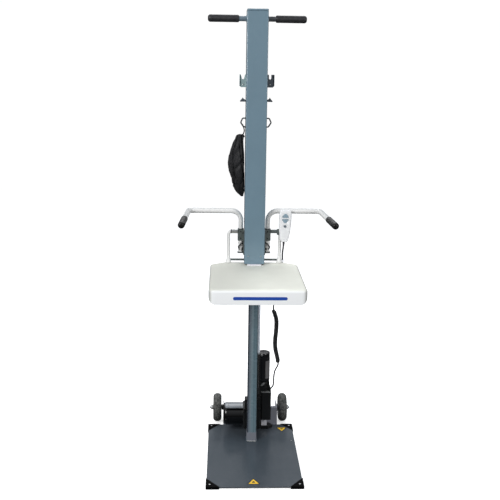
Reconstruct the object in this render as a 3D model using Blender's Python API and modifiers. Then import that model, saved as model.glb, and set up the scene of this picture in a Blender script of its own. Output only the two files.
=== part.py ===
"""Sit to stand lift, modelled in metres with +Z up.

A wheeled foot plate carries a fixed column. A mast with a seat, arm rests and a push bar
slides down over the column, driven by a screw that a geared motor turns at the column's foot.
The origin is on the floor at the middle of the whole lift. The user sits facing -Y.
The mast is modelled at the top of its travel.
"""
import math

import bmesh
import bpy
from mathutils import Matrix, Vector

GAP = 0.0003                      # air left between two pieces that touch

# Foot plate and the parts that stand on it
PLATE_WIDTH = 0.3950
PLATE_FRONT = -0.3510
PLATE_BACK = 0.2190
PLATE_BOTTOM = 0.0045
PLATE_TOP = 0.0105
PAD_LIP = 0.0025
PAD_TOP = 0.0125
PAD_LEG_X = 0.056
PAD_LEG_Y = 0.070
BASE_TOP = PLATE_TOP + GAP
PANEL_HALF_WIDTH = 0.128
PANEL_HEIGHT = 0.097
PANEL_THICKNESS = 0.004
PANEL_DEPTH = 0.086

# Column and lifting screw
COLUMN_HALF_WIDTH = 0.021
COLUMN_FRONT = 0.0485
COLUMN_BACK = 0.0945
COLUMN_TOP = 1.055
COLUMN_WALL = 0.003
SOCKET_TOP = 0.052
SOCKET_WALL = 0.0010
TOP_BEARING_RIGHT = 0.0392
TOP_BEARING_BACK = 0.1345
SCREW_X = 0.0285
SCREW_Y = 0.1225
SCREW_RADIUS = 0.007
SCREW_JOURNAL = 0.005
SCREW_SHOULDER = 1.050
GEAR_FRONT = 0.105
GEAR_BACK = 0.195
GEAR_LEFT = -0.036
GEAR_RIGHT = 0.0432
GEAR_BOTTOM = 0.0420
GEAR_TOP = 0.1430
GEAR_FOOT_HALF_WIDTH = 0.016
TURRET_LEFT = -0.0310
TURRET_BACK = 0.145
TURRET_TOP = 0.187
WORM_WHEEL_RADIUS = 0.0132
WORM_WHEEL_BOTTOM = 0.125
WORM_WHEEL_TOP = 0.150
MOTOR_RADIUS = 0.052
MOTOR_END = -0.129
MOTOR_Y = 0.1655
MOTOR_Z = 0.092

# Battery on its dock
BATTERY_X = 0.056
BATTERY_Y = 0.1735
BATTERY_RADIUS = 0.029
BATTERY_BOTTOM = 0.2575
BATTERY_SEAM = 0.370
BATTERY_TOP = 0.3955
DOCK_LOW = (0.047, 0.1385, 0.071)
DOCK_HIGH = (0.092, 0.2085, 0.208)
DOCK_NECK_RADIUS = 0.0235
FOOT_TOP = 0.0252

# Wheels
WHEEL_X = 0.157
WHEEL_Y = 0.2925
WHEEL_RADIUS = 0.067
TYRE_WIDTH = 0.043
TYRE_SHOULDER = 0.0195
RIM_RADIUS = 0.0495
AXLE_RADIUS = 0.006
AXLE_END = 0.193

# Sliding mast
MAST_HALF_WIDTH = 0.0435
MAST_FRONT = 0.0385
MAST_BACK = 0.1385
MAST_BOTTOM = 0.843
MAST_TOP = 1.887
MAST_WALL = 0.003
MAST_MIDDLE_Y = (MAST_FRONT + MAST_BACK) / 2
MAST_CUTAWAY_Y = 0.0965           # behind this the lower mast is open, to pass the gearbox
MAST_CUTAWAY_TOP = 0.985
CAP_TOP = 1.896
NUT_BOTTOM = 1.005
NUT_TOP = 1.035
BAR_Z = 1.860
BAR_RADIUS = 0.0105
BAR_END = 0.198
BAR_GRIP_START = 0.0755
BAR_GRIP_END = 0.2023
BAR_GRIP_RADIUS = 0.0148
GRIP_CROWN = 0.010
HOOK_Y = 0.0885
FORK_BOTTOM = 1.5865
FORK_TOP = 1.6385
FORK_NOTCH_Z = 1.6239
FORK_THICKNESS = 0.004
FORKS = {                         # outer edge, outer prong, notch middle and radius, inner prong
    "left": (0.0710, 0.0660, 0.0565, 0.0050, 0.0478),
    "right": (0.0740, 0.0612, 0.0562, 0.0045, 0.0512)}
WIRE_RADIUS = 0.003
WIRE_LOOP = [(0.0438, 1.4600), (0.0560, 1.4600), (0.0640, 1.4418), (0.0520, 1.4240), (0.0438, 1.4240)]

# Seat
SEAT_TOP = 0.8373
SEAT_DEPTH = 0.060
SEAT_HALF_WIDTH = 0.190
SEAT_FRONT = -0.3595
SEAT_BACK = 0.1025
SEAT_SHOULDER_X = 0.130
SEAT_SHOULDER_Y = 0.0615
SEAT_WALL = 0.004
SEAT_CORNER = 0.026
SEAT_SLOT_HALF_WIDTH = 0.0245
SEAT_SLOT_FRONT = 0.0450

# Arm rests and the stays between their brackets and the seat
ARM_X = 0.0585
ARM_Y = 0.1035
ARM_RADIUS = 0.010
ARM_FOOT = 0.8830
ARM_HEIGHT = 1.0645
ARM_CORNER_X = 0.284
ARM_TIP = (0.294, -0.3085, 1.0745)
ARM_GRIP_RADIUS = 0.0134
ARM_GRIP_LENGTH = 0.168
BRACKET_OUTER_X = 0.0715
BRACKET_HALF_DEPTH = 0.013
SLEEVE_BOTTOM = 0.9345
SLEEVE_TOP = 0.9845
BRACKET_BOTTOM = 0.8780
STAY_X = 0.111
STAY_Y = 0.0947
STAY_TOP = 0.9755
STAY_RADIUS = 0.006

# Handset on its holder at the right stay
HANDSET_CENTRE = (0.1308, 0.0745, 1.0046)
HANDSET_TILT = math.radians(2.3)
HANDSET_THICKNESS = 0.022
BUTTON_TRAVEL = 0.0015
BUTTON_HEIGHT = 0.005

# Cord from the handset to the dock
CORD_RADIUS = 0.0033
COIL_RADIUS = 0.0105
CLIP_X = 0.1265
CLIP_Y = 0.1085
CLIP_BOTTOM = SEAT_TOP + GAP
CLIP_TOP = 0.8470
CLIP_BACK = 0.1145
CORD_TO_CLIP = [
    (0.1278, 0.0745, 0.9342), (0.1272, 0.0745, 0.9200), (0.1258, 0.0768, 0.9030),
    (0.1248, 0.0840, 0.8860), (0.1252, 0.0965, 0.8710), (0.1262, 0.1070, 0.8600),
    (CLIP_X, CLIP_Y, 0.8540), (CLIP_X, CLIP_Y, CLIP_TOP + GAP)]
CORD_TO_COIL = [
    (CLIP_X, CLIP_Y, CLIP_TOP - GAP), (CLIP_X, CLIP_Y, 0.8320), (0.1258, 0.1100, 0.8050),
    (0.1220, 0.1140, 0.7500), (0.1130, 0.1180, 0.6980), (0.1010, 0.1215, 0.6550),
    (0.0940, 0.1270, 0.6300), (0.0935, 0.1300, 0.6180), (0.0944, 0.1300, 0.6096)]
COIL_ROUTE = [
    (0.0945, 0.1300, 0.6090), (0.0960, 0.1300, 0.6020), (0.1020, 0.1300, 0.5850), (0.1079, 0.1300, 0.5613),
    (0.1086, 0.1300, 0.5300), (0.1074, 0.1300, 0.5044), (0.1048, 0.1300, 0.4740),
    (0.1044, 0.1300, 0.4471), (0.1068, 0.1300, 0.4220), (0.1122, 0.1300, 0.3991),
    (0.1170, 0.1300, 0.3780), (0.1195, 0.1300, 0.3580)]
CORD_TO_DOCK = [
    (0.1196, 0.1300, 0.3574), (0.1203, 0.1304, 0.3510), (0.1170, 0.1360, 0.3370),
    (0.1080, 0.1440, 0.3150), (0.1035, 0.1490, 0.2850), (0.1030, 0.1515, 0.2560),
    (0.1005, 0.1520, 0.2370), (0.0935, 0.1520, 0.2265), (0.0880, 0.1520, 0.2190),
    (0.0868, 0.1520, 0.2087)]

LEFT, RIGHT = -1, 1
SIDES = {"left": LEFT, "right": RIGHT}


# ---------------------------------------------------------------- tools

def clear_scene():
    for obj in list(bpy.data.objects):
        bpy.data.objects.remove(obj, do_unlink=True)


def new_collection(name):
    collection = bpy.data.collections.new(name)
    bpy.context.scene.collection.children.link(collection)
    return collection


def new_material(name, colour, roughness, metallic=0.0):
    material = bpy.data.materials.new(name)
    material.use_nodes = True
    shader = material.node_tree.nodes["Principled BSDF"]
    shader.inputs["Base Color"].default_value = (*colour, 1.0)
    shader.inputs["Roughness"].default_value = roughness
    shader.inputs["Metallic"].default_value = metallic
    return material


def new_pivot(name, place):
    pivot = bpy.data.objects.new(name, None)
    pivot.location = place
    parts.objects.link(pivot)
    bpy.context.view_layer.update()
    return pivot


def add_part(name, data, material, pivot=None, place=(0, 0, 0), turn=None):
    """Link a part, give it its material and parent it without moving it."""
    obj = bpy.data.objects.new(name, data)
    obj.matrix_world = Matrix.Translation(place) @ (turn or Matrix.Identity(4))
    parts.objects.link(obj)
    data.materials.append(material)
    bpy.context.view_layer.update()
    if pivot:
        obj.parent = pivot
        obj.matrix_parent_inverse = pivot.matrix_world.inverted()
    return obj


def mesh_from(bm, name):
    bmesh.ops.recalc_face_normals(bm, faces=bm.faces)
    mesh = bpy.data.meshes.new(name)
    bm.to_mesh(mesh)
    bm.free()
    return mesh


def block_mesh(name, low, high, corner=0.0, segments=3):
    """A box between two corners; corner rounds its vertical edges."""
    low, high = Vector(low), Vector(high)
    bm = bmesh.new()
    bmesh.ops.create_cube(bm, size=1.0)
    bmesh.ops.scale(bm, vec=high - low, verts=bm.verts)
    bmesh.ops.translate(bm, vec=(low + high) / 2, verts=bm.verts)
    if corner:
        upright = [e for e in bm.edges if abs((e.verts[0].co - e.verts[1].co).z) > 1e-6]
        bmesh.ops.bevel(bm, geom=upright, offset=corner, segments=segments, affect="EDGES", profile=0.5)
    return mesh_from(bm, name)


def block(name, low, high, material, pivot=None, corner=0.0):
    return add_part(name, block_mesh(name, low, high, corner), material, pivot)


def turn_between(direction):
    """The rotation that takes +Z to a direction."""
    return Vector((0, 0, 1)).rotation_difference(Vector(direction)).to_matrix().to_4x4()


def rod_mesh(name, radius, start, end, sides=24):
    start, end = Vector(start), Vector(end)
    bm = bmesh.new()
    bmesh.ops.create_cone(bm, cap_ends=True, segments=sides, radius1=radius, radius2=radius,
                          depth=(end - start).length)
    bmesh.ops.transform(bm, matrix=Matrix.Translation((start + end) / 2) @ turn_between(end - start),
                        verts=bm.verts)
    return mesh_from(bm, name)


def add_cutter(name, mesh):
    cutter = bpy.data.objects.new(name, mesh)
    cutter.hide_render = True
    cutter.display_type = "WIRE"
    cutters.objects.link(cutter)
    return cutter


def combine(obj, mesh, operation):
    cutter = add_cutter(f"{obj.name}_{operation.lower()}_{len(obj.modifiers)}", mesh)
    modifier = obj.modifiers.new(operation.title(), "BOOLEAN")
    modifier.operation = operation
    modifier.solver = "EXACT"
    modifier.object = cutter
    return modifier


def cut(obj, mesh):
    return combine(obj, mesh, "DIFFERENCE")


def join(obj, mesh):
    return combine(obj, mesh, "UNION")


def round_edges(obj, width, segments=2, angle=math.radians(60)):
    modifier = obj.modifiers.new("Round edges", "BEVEL")
    modifier.width = width
    modifier.segments = segments
    modifier.limit_method = "ANGLE"
    modifier.angle_limit = angle
    return modifier


def turned(name, profile, material, pivot=None, place=(0, 0, 0), axis=(0, 0, 1), steps=24):
    """A turned piece: the (radius, height) profile runs down its outside, top to bottom."""
    bm = bmesh.new()
    verts = [bm.verts.new((radius, 0, height)) for radius, height in profile]
    for first, second in zip(verts, verts[1:]):
        bm.edges.new((first, second))
    mesh = bpy.data.meshes.new(name)
    bm.to_mesh(mesh)
    bm.free()
    obj = add_part(name, mesh, material, pivot, place, turn_between(axis))
    screw = obj.modifiers.new("Turn", "SCREW")
    screw.steps = steps
    screw.render_steps = steps
    screw.use_merge_vertices = True
    screw.merge_threshold = 0.00005
    screw.use_smooth_shade = True
    return obj


def rounded_path(corners, radius, steps=6):
    """A path through the corners, each inner corner rounded to an arc of the given radius."""
    corners = [Vector(corner) for corner in corners]
    path = [corners[0]]
    for before, corner, after in zip(corners, corners[1:], corners[2:]):
        back, ahead = (before - corner).normalized(), (after - corner).normalized()
        half_angle = back.angle(ahead) / 2
        centre = corner + (back + ahead).normalized() * radius / math.sin(half_angle)
        start = corner + back * radius / math.tan(half_angle) - centre
        end = corner + ahead * radius / math.tan(half_angle) - centre
        swing = start.angle(end)
        for step in range(steps + 1):
            share = step / steps
            spoke = start * math.sin((1 - share) * swing) + end * math.sin(share * swing)
            path.append(centre + spoke / math.sin(swing))
    path.append(corners[-1])
    return path


def smooth_path(route, spacing):
    """Points about a spacing apart on the smooth curve through a route's own points."""
    route = [Vector(point) for point in route]
    ends = [2 * route[0] - route[1], *route, 2 * route[-1] - route[-2]]
    path = [route[0]]
    for before, start, end, after in zip(ends, ends[1:], ends[2:], ends[3:]):
        count = max(1, round((end - start).length / spacing))
        for step in range(1, count + 1):
            t = step / count
            path.append(0.5 * (2 * start + (end - before) * t
                               + (2 * before - 5 * start + 4 * end - after) * t * t
                               + (3 * start - before - 3 * end + after) * t ** 3))
    return path


def tube(name, path, radius, material, pivot=None, resolution=4):
    curve = bpy.data.curves.new(name, "CURVE")
    curve.dimensions = "3D"
    curve.bevel_depth = radius
    curve.bevel_resolution = resolution
    curve.use_fill_caps = True
    spline = curve.splines.new("POLY")
    spline.points.add(len(path) - 1)
    for point, place in zip(spline.points, path):
        point.co = (*place, 1.0)
    return add_part(name, curve, material, pivot)


def outline_mesh(name, outline, thickness, turn, place):
    """A flat outline of the given thickness as a closed mesh, made with a 2D curve."""
    curve = bpy.data.curves.new(name, "CURVE")
    curve.dimensions = "2D"
    curve.fill_mode = "BOTH"
    curve.extrude = thickness / 2
    spline = curve.splines.new("POLY")
    spline.points.add(len(outline) - 1)
    for point, (across, along) in zip(spline.points, outline):
        point.co = (across, along, 0, 1)
    spline.use_cyclic_u = True
    guide = bpy.data.objects.new(name, curve)
    parts.objects.link(guide)
    bpy.context.view_layer.update()
    mesh = bpy.data.meshes.new_from_object(guide.evaluated_get(bpy.context.evaluated_depsgraph_get()))
    bpy.data.objects.remove(guide)
    bm = bmesh.new()
    bm.from_mesh(mesh)
    bpy.data.meshes.remove(mesh)
    bmesh.ops.remove_doubles(bm, verts=bm.verts, dist=0.00002)
    bmesh.ops.transform(bm, matrix=Matrix.Translation(place) @ turn, verts=bm.verts)
    return mesh_from(bm, name)


FACE_FRONT = Matrix.Rotation(math.radians(90), 4, "X")      # an outline drawn in X and Z
FACE_SIDE = Matrix(((0, 0, 1, 0), (1, 0, 0, 0), (0, 1, 0, 0), (0, 0, 0, 1)))   # drawn in Y and Z


def arc(centre, radius, start, end, steps):
    """Points on an arc, angles in degrees."""
    angles = [math.radians(start + (end - start) * step / steps) for step in range(steps + 1)]
    return [(centre[0] + radius * math.cos(a), centre[1] + radius * math.sin(a)) for a in angles]


# ---------------------------------------------------------------- base

def make_plate():
    half = PLATE_WIDTH / 2
    block("foot_plate", (-half, PLATE_FRONT, PLATE_BOTTOM), (half, PLATE_BACK, PLATE_TOP), PAINT_DARK)
    slot = ((-half - GAP, PLATE_FRONT - GAP, PLATE_BOTTOM - GAP),
            (half + GAP, PLATE_BACK + GAP, PLATE_TOP + GAP))
    for end, edge, inward in (("front", PLATE_FRONT, 1), ("rear", PLATE_BACK, -1)):
        for side, sign in SIDES.items():
            make_corner_pad(f"corner_pad_{end}_{side}", sign, edge, inward, slot)


def make_corner_pad(name, sign, edge, inward, slot):
    """A triangular rubber pad that wraps one corner of the plate, above and below it."""
    x, y = sign * (PLATE_WIDTH / 2 + PAD_LIP), edge - inward * PAD_LIP
    corners = [(x, y), (x - sign * PAD_LEG_X, y), (x, y + inward * PAD_LEG_Y)]
    mesh = outline_mesh(name, corners, PAD_TOP, Matrix.Identity(4), (0, 0, PAD_TOP / 2))
    pad = add_part(name, mesh, RUBBER)
    cut(pad, block_mesh("plate_slot", *slot))


def make_rear_panel():
    """The upturned rear wall with two cheeks that hold the axle."""
    front, back = PLATE_BACK + GAP, PLATE_BACK + GAP + PANEL_DEPTH
    panel = block("rear_panel", (-PANEL_HALF_WIDTH, front, PLATE_BOTTOM),
                  (PANEL_HALF_WIDTH, back, PANEL_HEIGHT), PAINT_GREY)
    inner = PANEL_HALF_WIDTH - PANEL_THICKNESS
    cut(panel, block_mesh("channel", (-inner, front + PANEL_THICKNESS, -0.01), (inner, back + 0.01, 0.2)))
    cut(panel, rod_mesh("axle_bore", AXLE_RADIUS + GAP, (-0.2, WHEEL_Y, WHEEL_RADIUS),
                        (0.2, WHEEL_Y, WHEEL_RADIUS)))


def make_column():
    half = COLUMN_HALF_WIDTH
    column = block("column", (-half, COLUMN_FRONT, BASE_TOP), (half, COLUMN_BACK, COLUMN_TOP),
                   PAINT_BLUE_GREY, corner=0.004)
    inner = half - COLUMN_WALL
    cut(column, block_mesh("column_hollow", (-inner, COLUMN_FRONT + COLUMN_WALL, 0),
                           (inner, COLUMN_BACK - COLUMN_WALL, 2)))
    outer = half + GAP + SOCKET_WALL
    socket = block("column_socket", (-outer, COLUMN_FRONT - GAP - SOCKET_WALL, BASE_TOP),
                   (outer, COLUMN_BACK + GAP + SOCKET_WALL, SOCKET_TOP), PAINT_GREY, corner=0.004)
    cut(socket, block_mesh("column_in_socket", (-half - GAP, COLUMN_FRONT - GAP, 0),
                           (half + GAP, COLUMN_BACK + GAP, 1), 0.0035))
    bearing = block("column_top_bearing", (-half, COLUMN_FRONT + 0.001, COLUMN_TOP + GAP),
                    (TOP_BEARING_RIGHT, TOP_BEARING_BACK, COLUMN_TOP + 0.008), STEEL, corner=0.003)
    cut(bearing, rod_mesh("screw_journal", SCREW_JOURNAL + GAP, (SCREW_X, SCREW_Y, 1.0),
                          (SCREW_X, SCREW_Y, 1.2)))


def make_gearbox():
    """The right-angle gearbox: a housing on a narrow foot, with a turret round the screw."""
    housing = block("gearbox_housing", (GEAR_LEFT, GEAR_FRONT, GEAR_BOTTOM), (GEAR_RIGHT, GEAR_BACK, GEAR_TOP),
                    BLACK_PAINT, corner=0.004)
    join(housing, block_mesh("foot", (-GEAR_FOOT_HALF_WIDTH, GEAR_FRONT + 0.003, BASE_TOP),
                             (GEAR_FOOT_HALF_WIDTH, GEAR_BACK - 0.003, GEAR_BOTTOM + 0.004)))
    join(housing, block_mesh("turret", (TURRET_LEFT, GEAR_FRONT + 0.001, GEAR_TOP - 0.010),
                             (GEAR_RIGHT - GAP, TURRET_BACK, TURRET_TOP), 0.004))
    for name, radius, low, high in (("wheel_room", WORM_WHEEL_RADIUS + 0.0006, 0.115, 0.160),
                                    ("screw_hole", SCREW_RADIUS + 0.0008, 0.140, 0.220),
                                    ("foot_journal", SCREW_JOURNAL + 0.0005, 0.058, 0.130)):
        cut(housing, rod_mesh(name, radius, (SCREW_X, SCREW_Y, low), (SCREW_X, SCREW_Y, high)))


def make_motor():
    """The horizontal geared motor, turned about its own axis, with a domed free end."""
    length = abs(MOTOR_END) - abs(GEAR_LEFT) - GAP
    fillet = 0.016
    dome = [(MOTOR_RADIUS - fillet + across, length - fillet + up)
            for across, up in arc((0, 0), fillet, 90, 0, 4)]
    profile = [(0, length), *dome, (MOTOR_RADIUS, 0), (0, 0)]
    turned("drive_motor", profile, BLACK_PAINT, place=(GEAR_LEFT - GAP, MOTOR_Y, MOTOR_Z), axis=(-1, 0, 0))


def make_battery():
    dock = block("battery_dock", DOCK_LOW, DOCK_HIGH, BLACK_PLASTIC, corner=0.004)
    join(dock, rod_mesh("dock_neck", DOCK_NECK_RADIUS, (0.0585, BATTERY_Y, 0.190),
                        (0.0585, BATTERY_Y, BATTERY_BOTTOM - GAP)))
    height = BATTERY_SEAM - BATTERY_BOTTOM
    turned("battery_case", [(0, height), (BATTERY_RADIUS, height), (BATTERY_RADIUS, 0.002),
                            (BATTERY_RADIUS - 0.002, 0), (0, 0)],
           BLACK_GLOSS, place=(BATTERY_X, BATTERY_Y, BATTERY_BOTTOM))
    height = BATTERY_TOP - BATTERY_SEAM - GAP
    crown = [(BATTERY_RADIUS - 0.009 + across, height - 0.009 + up)
             for across, up in arc((0, 0), 0.009, 90, 0, 3)]
    turned("battery_cap", [(0, height), *crown, (BATTERY_RADIUS, 0), (0, 0)],
           BLACK_PLASTIC, place=(BATTERY_X, BATTERY_Y, BATTERY_SEAM + GAP))
    clevis = [(0.176, 0.0255), (0.205, 0.0255), (0.205, 0.0707), (0.183, 0.0707), (0.176, 0.050)]
    add_part("dock_clevis", outline_mesh("dock_clevis", clevis, 0.026, FACE_SIDE, (0.063, 0, 0)), ALUMINIUM)
    foot = [(0.024, 0.170), (0.084, 0.170), (0.104, 0.188), (0.088, 0.212), (0.024, 0.212)]
    thickness = FOOT_TOP - BASE_TOP
    add_part("dock_foot", outline_mesh("dock_foot", foot, thickness, Matrix.Identity(4),
                                       (0, 0, BASE_TOP + thickness / 2)), BLACK_PAINT)


# ---------------------------------------------------------------- wheels and axle

def make_wheels():
    axle = rod_mesh("axle", AXLE_RADIUS, (-AXLE_END, WHEEL_Y, WHEEL_RADIUS), (AXLE_END, WHEEL_Y, WHEEL_RADIUS), 16)
    add_part("axle", axle, STEEL)
    for side, sign in SIDES.items():
        make_wheel(side, sign)
        nut_start = WHEEL_X + 0.0208
        nut = add_part(f"axle_nut_{side}", rod_mesh("nut", 0.011, (sign * nut_start, WHEEL_Y, WHEEL_RADIUS),
                                                    (sign * (nut_start + 0.010), WHEEL_Y, WHEEL_RADIUS), 6), STEEL)
        cut(nut, rod_mesh("nut_bore", AXLE_RADIUS + GAP, (sign * 0.1, WHEEL_Y, WHEEL_RADIUS),
                          (sign * 0.25, WHEEL_Y, WHEEL_RADIUS), 16))


def make_wheel(side, sign):
    place = (sign * WHEEL_X, WHEEL_Y, WHEEL_RADIUS)
    pivot = new_pivot(f"wheel_{side}_pivot", place)
    half, inner = TYRE_WIDTH / 2, RIM_RADIUS + GAP
    tread = [(WHEEL_RADIUS - TYRE_SHOULDER + out, half - TYRE_SHOULDER + up)
             for out, up in arc((0, 0), TYRE_SHOULDER, 75, 0, 4)]
    lower = [(radius, -height) for radius, height in reversed(tread)]
    profile = [(inner, 0), (inner, half - 0.006), (inner + 0.004, half - 0.002), *tread, *lower,
               (inner + 0.004, 0.002 - half), (inner, 0.006 - half), (inner, 0)]
    turned(f"tyre_{side}", profile, GREY_RUBBER, pivot, place, axis=(1, 0, 0), steps=32)
    bore, boss, rim, web = AXLE_RADIUS + GAP, 0.014, 0.0445, 0.006
    half_hub, half_rim = 0.020, 0.0145
    upper = [(bore, half_hub), (boss, half_hub), (boss + 0.001, web), (rim - 0.001, web),
             (rim, half_rim), (RIM_RADIUS, half_rim)]
    lower = [(radius, -height) for radius, height in reversed(upper)]
    turned(f"hub_{side}", [(bore, 0), *upper, *lower, (bore, 0)], GREY_PLASTIC, pivot, place,
           axis=(1, 0, 0), steps=32)


# ---------------------------------------------------------------- screw

def make_screw():
    """The lifting screw at its outer diameter, with a journal at each end, and its worm wheel."""
    pivot = new_pivot("lift_screw_pivot", (SCREW_X, SCREW_Y, 0))
    profile = [(0, 1.066), (SCREW_JOURNAL, 1.066), (SCREW_JOURNAL, SCREW_SHOULDER),
               (SCREW_RADIUS, SCREW_SHOULDER), (SCREW_RADIUS, 0.118), (SCREW_JOURNAL, 0.118),
               (SCREW_JOURNAL, 0.060), (0, 0.060)]
    turned("lift_screw", profile, STEEL, pivot, (SCREW_X, SCREW_Y, 0), steps=16)
    bore = SCREW_RADIUS + GAP
    ring = [(bore, WORM_WHEEL_TOP), (WORM_WHEEL_RADIUS, WORM_WHEEL_TOP), (WORM_WHEEL_RADIUS, WORM_WHEEL_BOTTOM),
            (bore, WORM_WHEEL_BOTTOM), (bore, WORM_WHEEL_TOP)]
    turned("worm_wheel", ring, BRASS, pivot, (SCREW_X, SCREW_Y, 0), steps=24)


# ---------------------------------------------------------------- mast and what it carries

def make_mast(pivot):
    half = MAST_HALF_WIDTH
    mast = block("mast_tube", (-half, MAST_FRONT, MAST_BOTTOM), (half, MAST_BACK, MAST_TOP),
                 PAINT_BLUE_GREY, pivot, corner=0.004)
    inner = half - MAST_WALL
    cut(mast, block_mesh("mast_hollow", (-inner, MAST_FRONT + MAST_WALL, 0.5), (inner, MAST_BACK - MAST_WALL, 2)))
    cut(mast, block_mesh("mast_cutaway", (-0.1, MAST_CUTAWAY_Y, 0.5), (0.1, 0.2, MAST_CUTAWAY_TOP)))
    cut(mast, rod_mesh("bar_holes", BAR_RADIUS + GAP, (-0.1, MAST_MIDDLE_Y, BAR_Z), (0.1, MAST_MIDDLE_Y, BAR_Z)))
    cap = block("mast_cap", (-half, MAST_FRONT, MAST_TOP + GAP), (half, MAST_BACK, CAP_TOP), PAINT_BLUE_GREY, pivot,
                corner=0.004)
    round_edges(cap, 0.003)
    nut = block("drive_nut", (-inner + GAP, 0.100, NUT_BOTTOM), (inner - GAP, MAST_BACK - MAST_WALL - GAP, NUT_TOP),
                BRASS, pivot)
    cut(nut, rod_mesh("nut_thread", SCREW_RADIUS + GAP, (SCREW_X, SCREW_Y, 0.9), (SCREW_X, SCREW_Y, 1.1)))
    pad = block("glide_pad", (-inner + GAP, MAST_FRONT + MAST_WALL + GAP, 0.860), (inner - GAP, 0.0960, 0.900),
                WHITE_PLASTIC, pivot)
    cut(pad, block_mesh("column_in_pad", (-COLUMN_HALF_WIDTH - GAP, COLUMN_FRONT - GAP, 0.8),
                        (COLUMN_HALF_WIDTH + GAP, 0.2, 1.0)))


def make_push_bar(pivot):
    bar = rod_mesh("push_bar", BAR_RADIUS, (-BAR_END, MAST_MIDDLE_Y, BAR_Z), (BAR_END, MAST_MIDDLE_Y, BAR_Z), 20)
    add_part("push_bar", bar, PAINT_GREY, pivot)
    for side, sign in SIDES.items():
        tip = (sign * BAR_GRIP_END, MAST_MIDDLE_Y, BAR_Z)
        make_grip(f"push_bar_grip_{side}", tip, (sign, 0, 0), BAR_GRIP_END - BAR_GRIP_START,
                  BAR_GRIP_RADIUS, BAR_RADIUS + GAP, pivot)


def make_grip(name, tip, direction, length, radius, bore, pivot):
    """A closed-end rubber sleeve whose rounded tip is at a point and faces a direction."""
    tip_arc = [(radius - GRIP_CROWN + out, up - GRIP_CROWN) for out, up in arc((0, 0), GRIP_CROWN, 90, 0, 4)]
    profile = [(0, 0), *tip_arc, (radius, 0.003 - length), (radius - 0.002, -length), (bore, -length),
               (bore, -0.0040), (0, -0.0040)]
    return turned(name, profile, BLACK_RUBBER, pivot, tip, axis=direction, steps=20)


def make_mast_hooks(pivot):
    inner, bottom, top = MAST_HALF_WIDTH + GAP, FORK_BOTTOM, FORK_TOP
    for side, sign in SIDES.items():
        outer, prong, middle, radius, inner_prong = FORKS[side]
        notch = arc((middle, FORK_NOTCH_Z), radius, 0, -180, 6)
        fork = [(inner, bottom), (outer - 0.006, bottom), (outer, bottom + 0.006), (outer, top),
                (prong, top), *notch, (inner_prong, top), (inner, top)]
        mirrored(f"fork_hook_{side}", fork, FORK_THICKNESS, sign, PAINT_DARK, pivot)
        cleat = [(inner, 1.5276), (0.0680, 1.5276), (0.0680, 1.5310), (0.0600, 1.5400), (0.0565, 1.5455),
                 (0.0530, 1.5400), (inner, 1.5350)]
        mirrored(f"cleat_{side}", cleat, 0.010, sign, PAINT_DARK, pivot)
        loop = [(sign * x, HOOK_Y, z) for x, z in WIRE_LOOP]
        tube(f"wire_hook_{side}", rounded_path(loop, 0.007, 4), WIRE_RADIUS, STEEL_DARK, pivot, 2)


def mirrored(name, outline, thickness, sign, material, pivot):
    outline = [(sign * across, along) for across, along in outline]
    return add_part(name, outline_mesh(name, outline, thickness, FACE_FRONT, (0, HOOK_Y, 0)), material, pivot)


def make_seat(pivot):
    """The moulded seat: a tray turned upside down, with a slot behind for the column."""
    half, slot = SEAT_HALF_WIDTH, SEAT_SLOT_HALF_WIDTH
    right_side = [(slot, SEAT_SLOT_FRONT), (slot, SEAT_BACK), (SEAT_SHOULDER_X, SEAT_BACK),
                  (half, SEAT_SHOULDER_Y), (half, SEAT_FRONT)]
    left_side = [(-x, y) for x, y in reversed(right_side)]
    bm = bmesh.new()
    verts = [bm.verts.new((x, y, SEAT_TOP)) for x, y in left_side + right_side]
    top = bm.faces.new(verts)
    skirt = bmesh.ops.extrude_edge_only(bm, edges=top.edges)
    rim = [item for item in skirt["geom"] if isinstance(item, bmesh.types.BMVert)]
    bmesh.ops.translate(bm, verts=rim, vec=(0, 0, -SEAT_DEPTH))
    uprights = [e for e in bm.edges if abs((e.verts[0].co - e.verts[1].co).z) > 1e-6
                and max(abs(v.co.x) for v in e.verts) > 0.1]
    bmesh.ops.bevel(bm, geom=uprights, offset=0.020, segments=3, affect="EDGES", profile=0.5)
    bmesh.ops.recalc_face_normals(bm, faces=bm.faces)
    if max(bm.faces, key=lambda face: face.calc_area()).normal.z < 0:
        bmesh.ops.reverse_faces(bm, faces=bm.faces)
    mesh = bpy.data.meshes.new("seat_shell")
    bm.to_mesh(mesh)
    bm.free()
    seat = add_part("seat_shell", mesh, WHITE_PLASTIC, pivot)
    round_edges(seat, 0.006, angle=math.radians(50))
    wall = seat.modifiers.new("Wall", "SOLIDIFY")
    wall.thickness = SEAT_WALL
    wall.offset = -1
    wall.use_even_offset = True
    for sign in SIDES.values():
        cut(seat, seat_corner_mesh(sign))
    frame_top = SEAT_TOP - SEAT_WALL - GAP
    frame = block("seat_frame", (-0.12, -0.300, frame_top - 0.005), (0.12, 0.092, frame_top), PAINT_DARK, pivot)
    cut(frame, block_mesh("frame_slot", (-0.033, 0.030, 0.7), (0.033, 0.2, 0.9)))


def seat_corner_mesh(sign):
    """What is cut off below the seat's lower side edge, to leave it round when seen from the front."""
    low, reach = SEAT_TOP - SEAT_DEPTH, SEAT_HALF_WIDTH + 0.01
    centre = (SEAT_HALF_WIDTH - SEAT_CORNER, low + SEAT_CORNER)
    curve = arc(centre, SEAT_CORNER, 0, -90, 6)
    outline = [(reach, centre[1]), *curve, (centre[0], low - 0.01), (reach, low - 0.01)]
    outline = [(sign * x, z) for x, z in outline]
    return outline_mesh("seat_corner", outline, 0.6, FACE_FRONT, (0, (SEAT_FRONT + SEAT_BACK) / 2, 0))


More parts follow.
